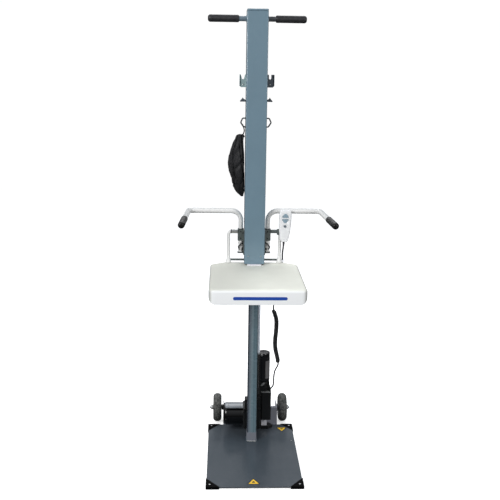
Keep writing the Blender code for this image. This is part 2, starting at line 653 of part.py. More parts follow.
def make_arm_bracket(side, sign, pivot):
    """A sleeve that holds the arm's upright, on a plate bolted to the mast's side."""
    def span(low, high):
        xs = sorted((sign * low[0], sign * high[0]))
        return (xs[0], *low[1:]), (xs[1], *high[1:])
    inner, middle = MAST_HALF_WIDTH + GAP, MAST_HALF_WIDTH + 0.001
    front, back = ARM_Y - BRACKET_HALF_DEPTH, ARM_Y + BRACKET_HALF_DEPTH
    bracket = block(f"arm_bracket_{side}", *span((inner, 0.060, BRACKET_BOTTOM), (inner + 0.004, back, SLEEVE_TOP)),
                    PAINT_GREY, pivot)
    join(bracket, block_mesh("sleeve", *span((middle, front, SLEEVE_BOTTOM), (BRACKET_OUTER_X, back - 0.0005,
                                                                             SLEEVE_TOP - 0.0005))))
    join(bracket, block_mesh("step", *span((middle, front, BRACKET_BOTTOM + 0.0005),
                                           (BRACKET_OUTER_X, back - 0.0005, ARM_FOOT - GAP))))
    cut(bracket, rod_mesh("arm_bore", ARM_RADIUS + 0.0005, (sign * ARM_X, ARM_Y, 0.92), (sign * ARM_X, ARM_Y, 1.0)))


def make_stay(side, sign, pivot):
    corners = [(BRACKET_OUTER_X + GAP, STAY_Y, STAY_TOP), (STAY_X, STAY_Y, STAY_TOP), (STAY_X, STAY_Y, SEAT_TOP + GAP)]
    corners = [(sign * x, y, z) for x, y, z in corners]
    tube(f"seat_stay_{side}", rounded_path(corners, 0.014, 5), STAY_RADIUS, WHITE_PAINT, pivot, 3)


def make_seat_supports(pivot):
    for side, sign in SIDES.items():
        make_arm_bracket(side, sign, pivot)
        make_stay(side, sign, pivot)
    reach = STAY_X - STAY_RADIUS - GAP
    block("seat_rear_bar", (-reach, 0.0970, 0.8440), (reach, 0.1010, 0.8530), PAINT_GREY, pivot)
    clip = block("cord_clip", (STAY_X + STAY_RADIUS + GAP, 0.0960, CLIP_BOTTOM), (0.1320, CLIP_BACK, CLIP_TOP),
                 BLACK_PLASTIC, pivot)
    cut(clip, rod_mesh("cord_hole", CORD_RADIUS + 0.0005, (CLIP_X, CLIP_Y, 0.8), (CLIP_X, CLIP_Y, 0.9), 12))


def make_bag(pivot):
    """A slack pouch that hangs from the left wire hook, widest at its middle."""
    top, bottom, wall_side = 1.390, 1.134, -0.0465
    bm = bmesh.new()
    bmesh.ops.create_uvsphere(bm, u_segments=16, v_segments=12, radius=1.0)
    for vert in bm.verts:
        level = (vert.co.z + 1) / 2
        half_width = 0.030 + 0.008 * math.sin(math.pi * level)
        centre_x = wall_side - half_width - 0.002 * math.cos(2 * math.pi * level)
        vert.co = Vector((centre_x + vert.co.x * half_width, HOOK_Y + vert.co.y * 0.036,
                          bottom + level * (top - bottom)))
    add_part("accessory_bag", mesh_from(bm, "accessory_bag"), BLACK_FABRIC, pivot)


# ---------------------------------------------------------------- arms and handset

def make_arm(side, sign, pivot):
    tip = Vector((sign * ARM_TIP[0], *ARM_TIP[1:]))
    corner = Vector((sign * ARM_CORNER_X, ARM_Y, ARM_HEIGHT))
    forward = (tip - corner).normalized()
    upright = [(sign * ARM_X, ARM_Y, ARM_FOOT), (sign * ARM_X, ARM_Y, ARM_HEIGHT)]
    first_bend = rounded_path([*upright, corner], 0.042, 6)[:-1]
    second_bend = rounded_path([upright[1], corner, tip - forward * 0.0045], 0.022, 5)[1:]
    tube(f"arm_tube_{side}", first_bend + second_bend, ARM_RADIUS, WHITE_PAINT, pivot)
    make_grip(f"arm_grip_{side}", tip, forward, ARM_GRIP_LENGTH, ARM_GRIP_RADIUS, ARM_RADIUS + GAP, pivot)


def make_handset(pivot):
    turn = Matrix.Rotation(HANDSET_TILT, 4, "Y") @ FACE_FRONT
    right_side = [(0.0100, -0.0695), (0.0165, -0.0630), (0.0200, -0.0460), (0.0235, -0.0220), (0.0255, 0.0080),
                  (0.0258, 0.0460), (0.0245, 0.0620), (0.0180, 0.0695)]
    left_side = [(-x, z) for x, z in reversed(right_side)]
    case = add_part("handset_case", outline_mesh("handset_case", right_side + left_side, HANDSET_THICKNESS,
                                                 turn, HANDSET_CENTRE), WHITE_PLASTIC, pivot)
    round_edges(case, 0.004, angle=math.radians(60))
    arrow = [(-0.0130, 0.0), (0.0130, 0.0), (0.0130, 0.0040), (0.0040, 0.0165), (-0.0040, 0.0165), (-0.0130, 0.0040)]
    buttons = {"up_button": ([(x, 0.0370 + z) for x, z in arrow], BUTTON_GREY),
               "down_button": ([(x, 0.0305 - z) for x, z in arrow], BUTTON_GREY),
               "light_button": (arc((0.0005, -0.0010), 0.0056, 0, 340, 17), BUTTON_GREY)}
    for name, (outline, material) in buttons.items():
        make_button(name, outline, material, case, turn, pivot)
    holder = [(0.0980, 0.9620), (0.1250, 0.9620), (0.1390, 0.9850), (0.1390, 1.0660), (0.1120, 1.0660),
              (0.1120, 0.9880), (0.0980, 0.9880)]
    back = HANDSET_CENTRE[1] + HANDSET_THICKNESS / 2 + GAP
    front_of_stay = STAY_Y - STAY_RADIUS - GAP
    add_part("handset_holder", outline_mesh("handset_holder", holder, front_of_stay - back, FACE_FRONT,
                                            (0, (back + front_of_stay) / 2, 0)), BLACK_PAINT, pivot)


def make_button(name, outline, material, case, turn, pivot):
    """A key in a pocket of the case's front face; it stands proud by its own travel."""
    centre = Vector((sum(x for x, _ in outline), sum(z for _, z in outline))) / len(outline)
    pocket_room = 1.05
    pocket = [tuple(centre + (Vector(point) - centre) * pocket_room) for point in outline]
    front = HANDSET_CENTRE[1] - HANDSET_THICKNESS / 2
    pocket_depth = BUTTON_HEIGHT + 0.001
    middle_y = front - BUTTON_TRAVEL / 2 - 0.001 + BUTTON_HEIGHT / 2
    place = (HANDSET_CENTRE[0], middle_y, HANDSET_CENTRE[2])
    add_part(name, outline_mesh(name, outline, BUTTON_HEIGHT, turn, place), material, pivot)
    room = (HANDSET_CENTRE[0], front + pocket_depth / 2 - 0.0005, HANDSET_CENTRE[2])
    cut(case, outline_mesh(f"{name}_pocket", pocket, pocket_depth, turn, room))


# ---------------------------------------------------------------- cord

def make_cord(carriage_pivot):
    for name, route, radius, pivot in (("cord_upper_lead", CORD_TO_CLIP, CORD_RADIUS, carriage_pivot),
                                       ("cord_lower_lead", CORD_TO_COIL, CORD_RADIUS, None),
                                       ("cord_coil", COIL_ROUTE, COIL_RADIUS, None),
                                       ("cord_tail", CORD_TO_DOCK, CORD_RADIUS, None)):
        tube(name, smooth_path(route, 0.012), radius, BLACK_PLASTIC, pivot, 2)


# ---------------------------------------------------------------- the lift

clear_scene()
parts = new_collection("sit_to_stand_lift")
cutters = new_collection("cutters")

PAINT_BLUE_GREY = new_material("blue_grey_paint", (0.16, 0.22, 0.27), 0.35)
PAINT_GREY = new_material("grey_paint", (0.27, 0.29, 0.32), 0.45)
PAINT_DARK = new_material("slate_paint", (0.08, 0.09, 0.11), 0.45)
WHITE_PAINT = new_material("white_paint", (0.80, 0.80, 0.79), 0.35)
BLACK_PAINT = new_material("black_paint", (0.012, 0.012, 0.013), 0.35)
STEEL = new_material("bright_steel", (0.62, 0.63, 0.65), 0.25, 1.0)
STEEL_DARK = new_material("dark_steel", (0.10, 0.11, 0.12), 0.35, 1.0)
ALUMINIUM = new_material("cast_aluminium", (0.55, 0.56, 0.57), 0.45, 1.0)
BRASS = new_material("bronze", (0.55, 0.38, 0.16), 0.35, 1.0)
WHITE_PLASTIC = new_material("white_plastic", (0.78, 0.79, 0.76), 0.40)
GREY_PLASTIC = new_material("grey_plastic", (0.25, 0.26, 0.27), 0.50)
BLACK_PLASTIC = new_material("black_plastic", (0.015, 0.015, 0.016), 0.45)
BLACK_GLOSS = new_material("black_gloss_plastic", (0.012, 0.012, 0.014), 0.20)
BUTTON_GREY = new_material("button_grey", (0.28, 0.36, 0.42), 0.50)
RUBBER = new_material("pad_rubber", (0.02, 0.02, 0.02), 0.70)
BLACK_RUBBER = new_material("grip_rubber", (0.018, 0.018, 0.018), 0.65)
GREY_RUBBER = new_material("tyre_rubber", (0.16, 0.16, 0.16), 0.75)
BLACK_FABRIC = new_material("bag_fabric", (0.012, 0.012, 0.014), 0.90)

make_plate()
make_rear_panel()
make_column()
make_gearbox()
make_motor()
make_battery()
make_wheels()
make_screw()

carriage = new_pivot("carriage_slide", (0, MAST_MIDDLE_Y, MAST_BOTTOM))
make_mast(carriage)
make_push_bar(carriage)
make_mast_hooks(carriage)
make_seat(carriage)
make_seat_supports(carriage)
make_bag(carriage)

arm_pivots = {side: new_pivot(f"arm_{side}_pivot", (sign * ARM_X, ARM_Y, ARM_FOOT)) for side, sign in SIDES.items()}
for arm_side, arm_sign in SIDES.items():
    make_arm(arm_side, arm_sign, arm_pivots[arm_side])
make_handset(carriage)
make_cord(carriage)
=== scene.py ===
"""Looks of the sit to stand lift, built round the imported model.

Metres, +Z up, the seated user facing -Y. The carriage is at the top of its travel.
"""
import math

import bmesh
import bpy
from mathutils import Matrix, Vector, noise


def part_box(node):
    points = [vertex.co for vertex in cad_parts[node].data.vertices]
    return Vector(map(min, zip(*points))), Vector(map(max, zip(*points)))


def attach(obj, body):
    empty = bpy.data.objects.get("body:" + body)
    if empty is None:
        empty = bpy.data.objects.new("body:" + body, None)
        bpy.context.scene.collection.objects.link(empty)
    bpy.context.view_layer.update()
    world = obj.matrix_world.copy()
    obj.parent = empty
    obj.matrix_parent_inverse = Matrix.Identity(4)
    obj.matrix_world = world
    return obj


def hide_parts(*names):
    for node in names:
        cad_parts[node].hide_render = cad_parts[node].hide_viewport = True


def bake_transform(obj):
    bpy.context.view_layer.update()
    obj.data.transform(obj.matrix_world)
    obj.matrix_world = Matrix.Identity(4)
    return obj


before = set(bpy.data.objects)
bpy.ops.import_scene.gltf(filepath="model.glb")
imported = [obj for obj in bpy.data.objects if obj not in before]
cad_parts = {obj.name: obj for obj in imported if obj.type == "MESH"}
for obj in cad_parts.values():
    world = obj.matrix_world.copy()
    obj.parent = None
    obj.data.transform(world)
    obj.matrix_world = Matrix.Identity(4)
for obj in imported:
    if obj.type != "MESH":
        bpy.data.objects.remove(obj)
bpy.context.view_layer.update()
SIDES = {"left": -1, "right": 1}
FACE_FRONT = Matrix.Rotation(math.radians(90), 4, "X")
FACE_SIDE = Matrix(((0, 0, 1, 0), (1, 0, 0, 0), (0, 1, 0, 0), (0, 0, 0, 1)))


# ---------------------------------------------------------------- camera

def link(obj):
    bpy.context.scene.collection.objects.link(obj)
    return obj


def make_camera():
    yaw, pitch, roll = 0.0376, 0.2174, 0.0141
    forward = Vector((math.sin(yaw) * math.cos(pitch), math.cos(yaw) * math.cos(pitch), -math.sin(pitch)))
    right = Vector((math.cos(yaw), -math.sin(yaw), 0))
    turn = Matrix((right, right.cross(forward), -forward)).transposed().to_4x4()
    data = bpy.data.cameras.new("camera")
    data.lens, data.sensor_width = 54, 36
    camera = link(bpy.data.objects.new("camera", data))
    place = Matrix.Translation((-0.1373, -3.1016, 1.5986))
    camera.matrix_world = place @ turn @ Matrix.Rotation(roll, 4, "Z")
    bpy.context.scene.camera = camera


make_camera()


# ---------------------------------------------------------------- shape tools

def mesh_of(bm, name):
    bmesh.ops.remove_doubles(bm, verts=bm.verts, dist=1e-6)
    bmesh.ops.recalc_face_normals(bm, faces=bm.faces)
    mesh = bpy.data.meshes.new(name)
    bm.to_mesh(mesh)
    bm.free()
    return mesh


def piece(name, mesh, look, body, stands_for=(), slot=None, crease=35):
    """Shows a mesh as a piece that rides on a CAD body."""
    mesh.materials.append(LOOKS[look])
    mesh.shade_smooth()
    mesh.set_sharp_from_angle(angle=math.radians(crease))
    obj = link(bpy.data.objects.new(name, mesh))
    if body:
        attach(obj, body)
    if stands_for:
        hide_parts(*([stands_for] if isinstance(stands_for, str) else stands_for))
    return obj


def loft(name, rings, caps=True, closed=False):
    """A skin through rings that all have the same number of points."""
    bm = bmesh.new()
    rows = [[bm.verts.new(point) for point in ring] for ring in rings]
    pairs = list(zip(rows, rows[1:])) + ([(rows[-1], rows[0])] if closed else [])
    for first, second in pairs:
        for i in range(len(first)):
            j = (i + 1) % len(first)
            bm.faces.new((first[i], first[j], second[j], second[i]))
    if caps and not closed:
        bm.faces.new(rows[0][::-1])
        bm.faces.new(rows[-1])
    return mesh_of(bm, name)


def circle(radius, sides):
    angles = [2 * math.pi * i / sides for i in range(sides)]
    return [(radius * math.cos(angle), radius * math.sin(angle)) for angle in angles]


def turn_to(axis):
    return Vector((0, 0, 1)).rotation_difference(Vector(axis)).to_matrix().to_4x4()


def lathe(name, profile, place=(0, 0, 0), axis=(0, 0, 1), sides=48, closed=False, shape=None):
    """Turns a (radius, height) profile about an axis. shape may change a radius with the angle."""
    put = Matrix.Translation(place) @ turn_to(axis)
    rings = []
    for radius, height in profile:
        ring = []
        for i in range(sides):
            angle = 2 * math.pi * i / sides
            size = max(radius, 1e-4) if shape is None else shape(max(radius, 1e-4), height, angle)
            ring.append(put @ Vector((size * math.cos(angle), size * math.sin(angle), height)))
        rings.append(ring)
    return loft(name, rings, closed=closed)


def sweep(name, path, section, scales=None, up=None):
    """Draws a section of (across, along) points along a path, without twisting it."""
    path = [Vector(point) for point in path]
    tangent = (path[1] - path[0]).normalized()
    side = tangent.orthogonal().normalized() if up is None else Vector(up).cross(tangent).normalized()
    rings = []
    for i, point in enumerate(path):
        ahead = (path[min(i + 1, len(path) - 1)] - path[max(i - 1, 0)]).normalized()
        side = (tangent.rotation_difference(ahead) @ side).normalized()
        tangent = ahead
        other = tangent.cross(side)
        scale = scales[i] if scales else 1.0
        rings.append([point + (side * across + other * along) * scale for across, along in section])
    return loft(name, rings)


def block(name, low, high, bevel=0.0006):
    low, high = Vector(low), Vector(high)
    bm = bmesh.new()
    bmesh.ops.create_cube(bm, size=1, matrix=Matrix.LocRotScale((low + high) / 2, None, high - low))
    if bevel:
        bmesh.ops.bevel(bm, geom=bm.edges, offset=bevel, segments=2, profile=0.5, affect="EDGES")
    return mesh_of(bm, name)


def plate(name, outline, thickness, turn, place, bevel=0.0004):
    """A flat piece cut to an outline, with softened edges."""
    bm = bmesh.new()
    face = bm.faces.new([bm.verts.new((x, y, -thickness / 2)) for x, y in outline])
    top = bmesh.ops.extrude_face_region(bm, geom=[face])["geom"]
    lifted = [item for item in top if isinstance(item, bmesh.types.BMVert)]
    bmesh.ops.translate(bm, verts=lifted, vec=(0, 0, thickness))
    if bevel:
        rims = [e for e in bm.edges if abs(e.verts[0].co.z - e.verts[1].co.z) < 1e-7]
        bmesh.ops.bevel(bm, geom=rims, offset=bevel, segments=2, profile=0.5, affect="EDGES")
    mesh = mesh_of(bm, name)
    mesh.transform(Matrix.Translation(place) @ turn)
    return mesh


def turned(name, look, body, profile, place=(0, 0, 0), axis=(0, 0, 1), sides=48, closed=False, shape=None, **told):
    return piece(name, lathe(name, profile, place, axis, sides, closed, shape), look, body, **told)


def drawn(name, look, body, path, section, scales=None, up=None, **told):
    return piece(name, sweep(name, path, section, scales, up), look, body, **told)


def boxed(name, look, body, low, high, bevel=0.0006):
    return piece(name, block(name, low, high, bevel), look, body)


def flat(name, look, body, outline, thickness, turn, place, bevel=0.0004):
    return piece(name, plate(name, outline, thickness, turn, place, bevel), look, body)


def rounded(corners, radius, steps=10):
    """A path through the corners, each inner corner rounded to an arc."""
    corners = [Vector(corner) for corner in corners]
    path = [corners[0]]
    for before, corner, after in zip(corners, corners[1:], corners[2:]):
        back, ahead = (before - corner).normalized(), (after - corner).normalized()
        half = back.angle(ahead) / 2
        centre = corner + (back + ahead).normalized() * radius / math.sin(half)
        start, end = (corner + way * radius / math.tan(half) - centre for way in (back, ahead))
        swing = start.angle(end)
        for step in range(steps + 1):
            turn = swing * step / steps
            path.append(centre + (start * math.sin(swing - turn) + end * math.sin(turn)) / math.sin(swing))
    path.append(corners[-1])
    return path


def outline_of(corners, radius, steps):
    """The closed outline through (x, y) corners, rounded except at its first point."""
    path = rounded([(*corners[-1], 0), *[(*corner, 0) for corner in corners], (*corners[0], 0)], radius,
        steps)
    return [(point.x, point.y) for point in path[1:-1]]


def smooth_path(route, spacing):
    """Points about a spacing apart on the smooth curve through a route's own points."""
    route = [Vector(point) for point in route]
    ends = [2 * route[0] - route[1], *route, 2 * route[-1] - route[-2]]
    path = [route[0]]
    for before, start, end, after in zip(ends, ends[1:], ends[2:], ends[3:]):
        count = max(1, round((end - start).length / spacing))
        for step in range(1, count + 1):
            t = step / count
            bend = 2 * before - 5 * start + 4 * end - after
            path.append(0.5 * (2 * start + (end - before) * t + bend * t * t
                               + (3 * start - before - 3 * end + after) * t ** 3))
    return path


def arc(centre, radius, start, end, steps):
    angles = [math.radians(start + (end - start) * step / steps) for step in range(steps + 1)]
    return [(centre[0] + radius * math.cos(a), centre[1] + radius * math.sin(a)) for a in angles]


def groove(radius, start, end, depth, slope):
    """Four points of a turned profile that cut a groove from one height to another."""
    return [(radius, start), (radius - depth, start + slope), (radius - depth, end - slope), (radius, end)]


def ease(t):
    t = min(1.0, max(0, t))
    return t * t * (3 - 2 * t)


# ---------------------------------------------------------------- material tools

def rgb(red, green, blue):
    """A display colour, 0 to 255, as the linear colour that a shader takes."""
    channels = (red / 255, green / 255, blue / 255)
    return (*(c / 12.92 if c <= 0.04045 else ((c + 0.055) / 1.055) ** 2.4 for c in channels), 1)


class Look:
    """A material, with short calls that add to it."""

    def __init__(self, name, colour, roughness, metallic=0.0, **sockets):
        self.material = bpy.data.materials.new(name)
        self.material.use_nodes = True
        self.tree = self.material.node_tree
        self.shader = self.tree.nodes["Principled BSDF"]
        self.set(Roughness=roughness, Metallic=metallic, Base_Color=colour, **sockets)
        self.material.diffuse_color = self.colour = colour
        self.place = self.node("ShaderNodeTexCoord").outputs["Object"]
        self.height = None

    def set(self, **sockets):
        for socket, value in sockets.items():
            self.shader.inputs[socket.replace("_", " ")].default_value = value

    def node(self, kind, *values, **settings):
        made = self.tree.nodes.new(kind)
        for key, value in settings.items():
            setattr(made, key, value)
        for index, value in enumerate(values):
            if isinstance(value, bpy.types.NodeSocket):
                self.tree.links.new(value, made.inputs[index])
            elif value is not None:
                made.inputs[index].default_value = value
        return made

    def math(self, operation, first, second=0.0):
        return self.node("ShaderNodeMath", first, second, operation=operation).outputs[0]

    def split(self, vector=None):
        return self.node("ShaderNodeSeparateXYZ", vector or self.place).outputs

    def normal(self):
        return self.node("ShaderNodeNewGeometry").outputs["Normal"]

    def at(self, stretch=(1, 1, 1), turn=(0, 0, 0)):
        return self.node("ShaderNodeMapping", self.place, (0, 0, 0), turn, stretch).outputs[0]

    def noise(self, size, detail=3.0, stretch=(1, 1, 1)):
        return self.node("ShaderNodeTexNoise", self.at(stretch), None, 1 / size, detail).outputs[0]

    def spread(self, value, low, high, new_low=0.0, new_high=1.0):
        return self.node("ShaderNodeMapRange", value, low, high, new_low, new_high).outputs[0]

    def tint(self, value, colour):
        """Blends the colour so far towards another where value is 1."""
        made = self.node("ShaderNodeMix", value, data_type="RGBA")
        if isinstance(self.colour, bpy.types.NodeSocket):
            self.tree.links.new(self.colour, made.inputs[6])
        else:
            made.inputs[6].default_value = self.colour
        made.inputs[7].default_value = colour
        self.colour = made.outputs[2]
        self.tree.links.new(self.colour, self.shader.inputs["Base Color"])

    def cloud(self, size, low, high, colour, amount=1.0, detail=4, stretch=(1, 1, 1)):
        """Patches of another colour, about a size across."""
        self.tint(self.spread(self.noise(size, detail, stretch), low, high, 0, amount), colour)

    def fade(self, value, low, high, colour, amount=1.0):
        """Fades to another colour as a value goes from low to high."""
        self.tint(self.spread(value, low, high, 0, amount), colour)

    def rough(self, value, low, high):
        self.tree.links.new(self.spread(value, 0.3, 0.7, low, high), self.shader.inputs["Roughness"])

    def done(self, patch, low, high, grain, depth, detail=2):
        """Adds uneven gloss and a fine grain, and hands the material over."""
        self.rough(self.noise(patch, 4), low, high)
        self.bump(self.noise(grain, detail), depth)
        return self.material

    def bump(self, value, depth, strength=1.0):
        made = self.node("ShaderNodeBump", strength, depth, None, value)
        if self.height is not None:
            self.tree.links.new(self.height, made.inputs["Normal"])
        self.height = made.outputs[0]
        self.tree.links.new(self.height, self.shader.inputs["Normal"])


def shade(colour, factor):
    return tuple(min(1.0, c * factor) for c in colour[:3]) + (1.0,)


def edges(look, radius):
    """1 near a convex or concave edge, 0 on a flat."""
    soft = look.node("ShaderNodeBevel", radius, samples=4).outputs[0]
    dot = look.node("ShaderNodeVectorMath", soft, look.normal(), operation="DOT_PRODUCT").outputs["Value"]
    return look.spread(dot, 0.995, 0.85)


def paint(name, colour, roughness, wear=None, **sockets):
    """Powder coat: a fine orange peel, faint clouding, and wear along the edges."""
    look = Look(name, colour, roughness, **sockets)
    look.cloud(0.12, 0.35, 0.7, shade(colour, 0.95))
    look.cloud(0.0016, 0.6, 0.72, shade(colour, 1.06), 0.35, 3)
    if wear:
        rubbed = look.math("MULTIPLY", edges(look, 0.0012), look.spread(look.noise(0.006, 5), 0.45, 0.62))
        look.tint(rubbed, wear)
    return look.done(0.02, roughness * 0.85, roughness * 1.2, 0.0011, 0.00002)


def moulded(name, colour, roughness, **sockets):
    """Moulded plastic: a fine spark-eroded grain and slight clouding."""
    look = Look(name, colour, roughness, **sockets)
    look.cloud(0.07, 0.35, 0.7, shade(colour, 0.95))
    return look.done(0.004, roughness * 0.85, roughness * 1.15, 0.0005, 0.00003)


def rubber(name, colour, roughness, dust, **sockets):
    """Moulded rubber, a little dusty."""
    look = Look(name, colour, roughness, **sockets)
    look.cloud(0.012, 0.45, 0.75, rgb(128, 128, 126), dust, 5)
    return look.done(0.005, roughness * 0.85, min(1.0, roughness * 1.15), 0.0009, 0.00008, 3)


def steel(name, colour, roughness, stretch=(1, 1, 0.03)):
    """Brushed or drawn steel, its lines along the stretched axis."""
    look = Look(name, colour, roughness, 1.0)
    lines = look.noise(0.0007, 4, stretch)
    look.cloud(0.02, 0.4, 0.7, shade(colour, 0.82))
    look.rough(lines, roughness * 0.7, roughness * 1.4)
    look.bump(lines, 0.00002)
    return look.material


def make_bar_paint():
    """The push bar's grey, with painted shade that darkens its right half, where the mast's shadow falls."""
    look = Look("look_bar", rgb(112, 128, 140), 0.4)
    look.cloud(0.02, 0.4, 0.7, rgb(104, 119, 130))
    # painted shade: the right half darker, as in the mast's shadow
    look.fade(look.split()["X"], -0.01, 0.01, rgb(80, 84, 88))
    return look.done(0.01, 0.34, 0.46, 0.0011, 0.00002)


def make_white_paint():
    """White coat, with painted shade that greys the tops of the tubes, which face up."""
    colour = rgb(224, 224, 223)
    look = Look("look_white_paint", colour, 0.42, Specular_IOR_Level=0.3)
    look.cloud(0.12, 0.35, 0.7, shade(colour, 0.95))
    # painted shade: the surfaces that face up turn grey
    look.fade(look.split(look.normal())["Z"], 0.66, 0.98, rgb(184, 186, 186))
    return look.done(0.02, 0.38, 0.48, 0.0011, 0.00002)


def make_seat_plastic():
    """Moulded white, with painted shade that greys it towards the left and on its side walls, and painted light that
    whitens its front.
    """
    colour = rgb(223, 224, 214)
    look = Look("look_seat", colour, 0.5, Specular_IOR_Level=0.3)
    look.cloud(0.07, 0.35, 0.7, shade(colour, 0.96))
    # painted shade: greyer towards the left
    look.fade(look.split()["X"], 0.02, -0.14, shade(colour, 0.7), 0.8)
    facing = look.split(look.normal())
    # painted light: the faces that look forward are whiter
    look.fade(facing["Y"], -0.55, -0.97, rgb(236, 238, 239))
    # painted shade: the side walls, which face left and right, greyer
    look.fade(look.math("ABSOLUTE", facing["X"]), 0.45, 0.9, rgb(186, 188, 186))
    return look.done(0.004, 0.46, 0.58, 0.0005, 0.00003)


def make_tyre_rubber():
    look = Look("look_tyre", rgb(48, 49, 48), 0.75)
    look.cloud(0.01, 0.42, 0.62, rgb(92, 93, 91), 1, 5)
    look.cloud(0.004, 0.52, 0.62, rgb(112, 113, 110), 0.8)
    look.cloud(0.0025, 0.58, 0.7, rgb(40, 41, 42), 0.6)
    look.bump(look.noise(0.0012, 3), 0.00015)
    return look.material


def make_fabric():
    """Black pouch cloth: a fine plain weave, dusty on its high folds, with painted shade that turns it black towards
    the mast.
    """
    look = Look("look_bag", rgb(9, 9, 12), 0.7, Sheen_Weight=0.1, Sheen_Roughness=0.4,
        Specular_IOR_Level=0.36)
    waves = [look.node("ShaderNodeTexWave", look.at(turn=(0, turn, 0)), 380, 0.6).outputs["Fac"] for turn in
        (0, math.radians(90))]
    weave = look.math("MAXIMUM", *waves)
    look.fade(weave, 0.2, 1.0, rgb(22, 23, 27), 0.3)
    look.cloud(0.03, 0.45, 0.68, rgb(25, 26, 31), 0.5, 5)
    # painted shade: black towards the mast
    look.fade(look.split()["X"], -0.07, -0.054, rgb(2, 2, 3), 0.9)
    look.rough(look.noise(0.01, 3), 0.5, 0.75)
    look.bump(weave, 0.00012)
    look.bump(look.noise(0.012, 5), 0.0012, 0.6)
    return look.material


def make_plate_paint():
    """Slate coat with a slight sheen, faint drag marks and rubbed edges, with painted light that makes it lighter
    towards the back.
    """
    look = Look("look_plate", rgb(60, 68, 75), 0.3, Specular_IOR_Level=0.38)
    look.cloud(0.15, 0.35, 0.7, rgb(65, 72, 79), 1, 5)
    # painted light: lighter towards the back
    look.fade(look.split()["Y"], 0.06, 0.2, rgb(76, 82, 88))
    look.cloud(0.05, 0.56, 0.72, rgb(76, 82, 89), 0.25, 6, (1, 0.25, 1))
    look.cloud(0.0022, 0.62, 0.7, rgb(60, 66, 73), 0.3)
    look.tint(look.math("MULTIPLY", edges(look, 0.0015), look.spread(look.noise(0.004, 5), 0.4, 0.6)),
        rgb(118, 122, 127))
    look.rough(look.noise(0.03, 5), 0.2, 0.27)
    look.bump(look.noise(0.0016, 3), 0.00001)
    return look.material


def make_column_paint():
    """Drawn tube under a glossy coat: faint upright streaks in the bump, with painted reflections darker and lighter
    along them, and painted shade that greys the left edge.
    """
    look = Look("look_column", rgb(100, 121, 130), 0.3)
    streaks = look.noise(0.009, 2, (1, 1, 0.002))
    # painted reflections: darker and lighter upright streaks
    look.fade(streaks, 0.4, 0.62, rgb(86, 107, 116))
    look.cloud(0.005, 0.52, 0.66, rgb(132, 146, 152), 0.7, 3, (1, 1, 0.003))
    look.cloud(0.1, 0.4, 0.7, rgb(98, 112, 119), 0.5)
    across = look.split()["X"]
    # painted shade: greyer towards the left of the face, darkest along its left edge
    look.fade(across, -0.004, -0.008, rgb(98, 103, 112), 0.55)
    look.fade(across, -0.0145, -0.016, rgb(52, 57, 66), 0.9)
    look.rough(look.noise(0.02, 4), 0.2, 0.32)
    look.bump(look.noise(0.0011, 2), 0.00001)
    look.bump(streaks, 0.0001)
    return look.material


def make_motor_paint():
    """Glossy black, with a painted highlight: a pale strip along its top."""
    look = Look("look_motor", rgb(3, 3, 4), 0.12, Specular_IOR_Level=0.1, Coat_Weight=0.8,
        Coat_Roughness=0.05)
    look.cloud(0.02, 0.4, 0.7, rgb(5, 5, 6))
    # painted highlight: the surfaces facing up turn pale
    look.fade(look.split(look.normal())["Z"], 0.76, 0.84, rgb(138, 144, 150), 0.8)
    return look.done(0.01, 0.1, 0.16, 0.0011, 0.00002)


def make_screw_steel():
    """Bright thread above, with a painted reflection that turns it black along its lowest stretch, beside the black
    battery.
    """
    look = Look("look_screw", rgb(236, 242, 250), 0.3, 0.1)
    look.cloud(0.02, 0.4, 0.7, rgb(216, 226, 238))
    wave = look.math("MULTIPLY", look.noise(0.01, 3), 0.02)
    # painted reflection: black below a wavy line low on the thread
    look.fade(look.math("ADD", look.split()["Z"], wave), 0.424, 0.412, rgb(20, 21, 23))
    look.rough(look.noise(0.003, 3), 0.2, 0.4)
    look.bump(look.noise(0.0006, 3), 0.00002)
    return look.material


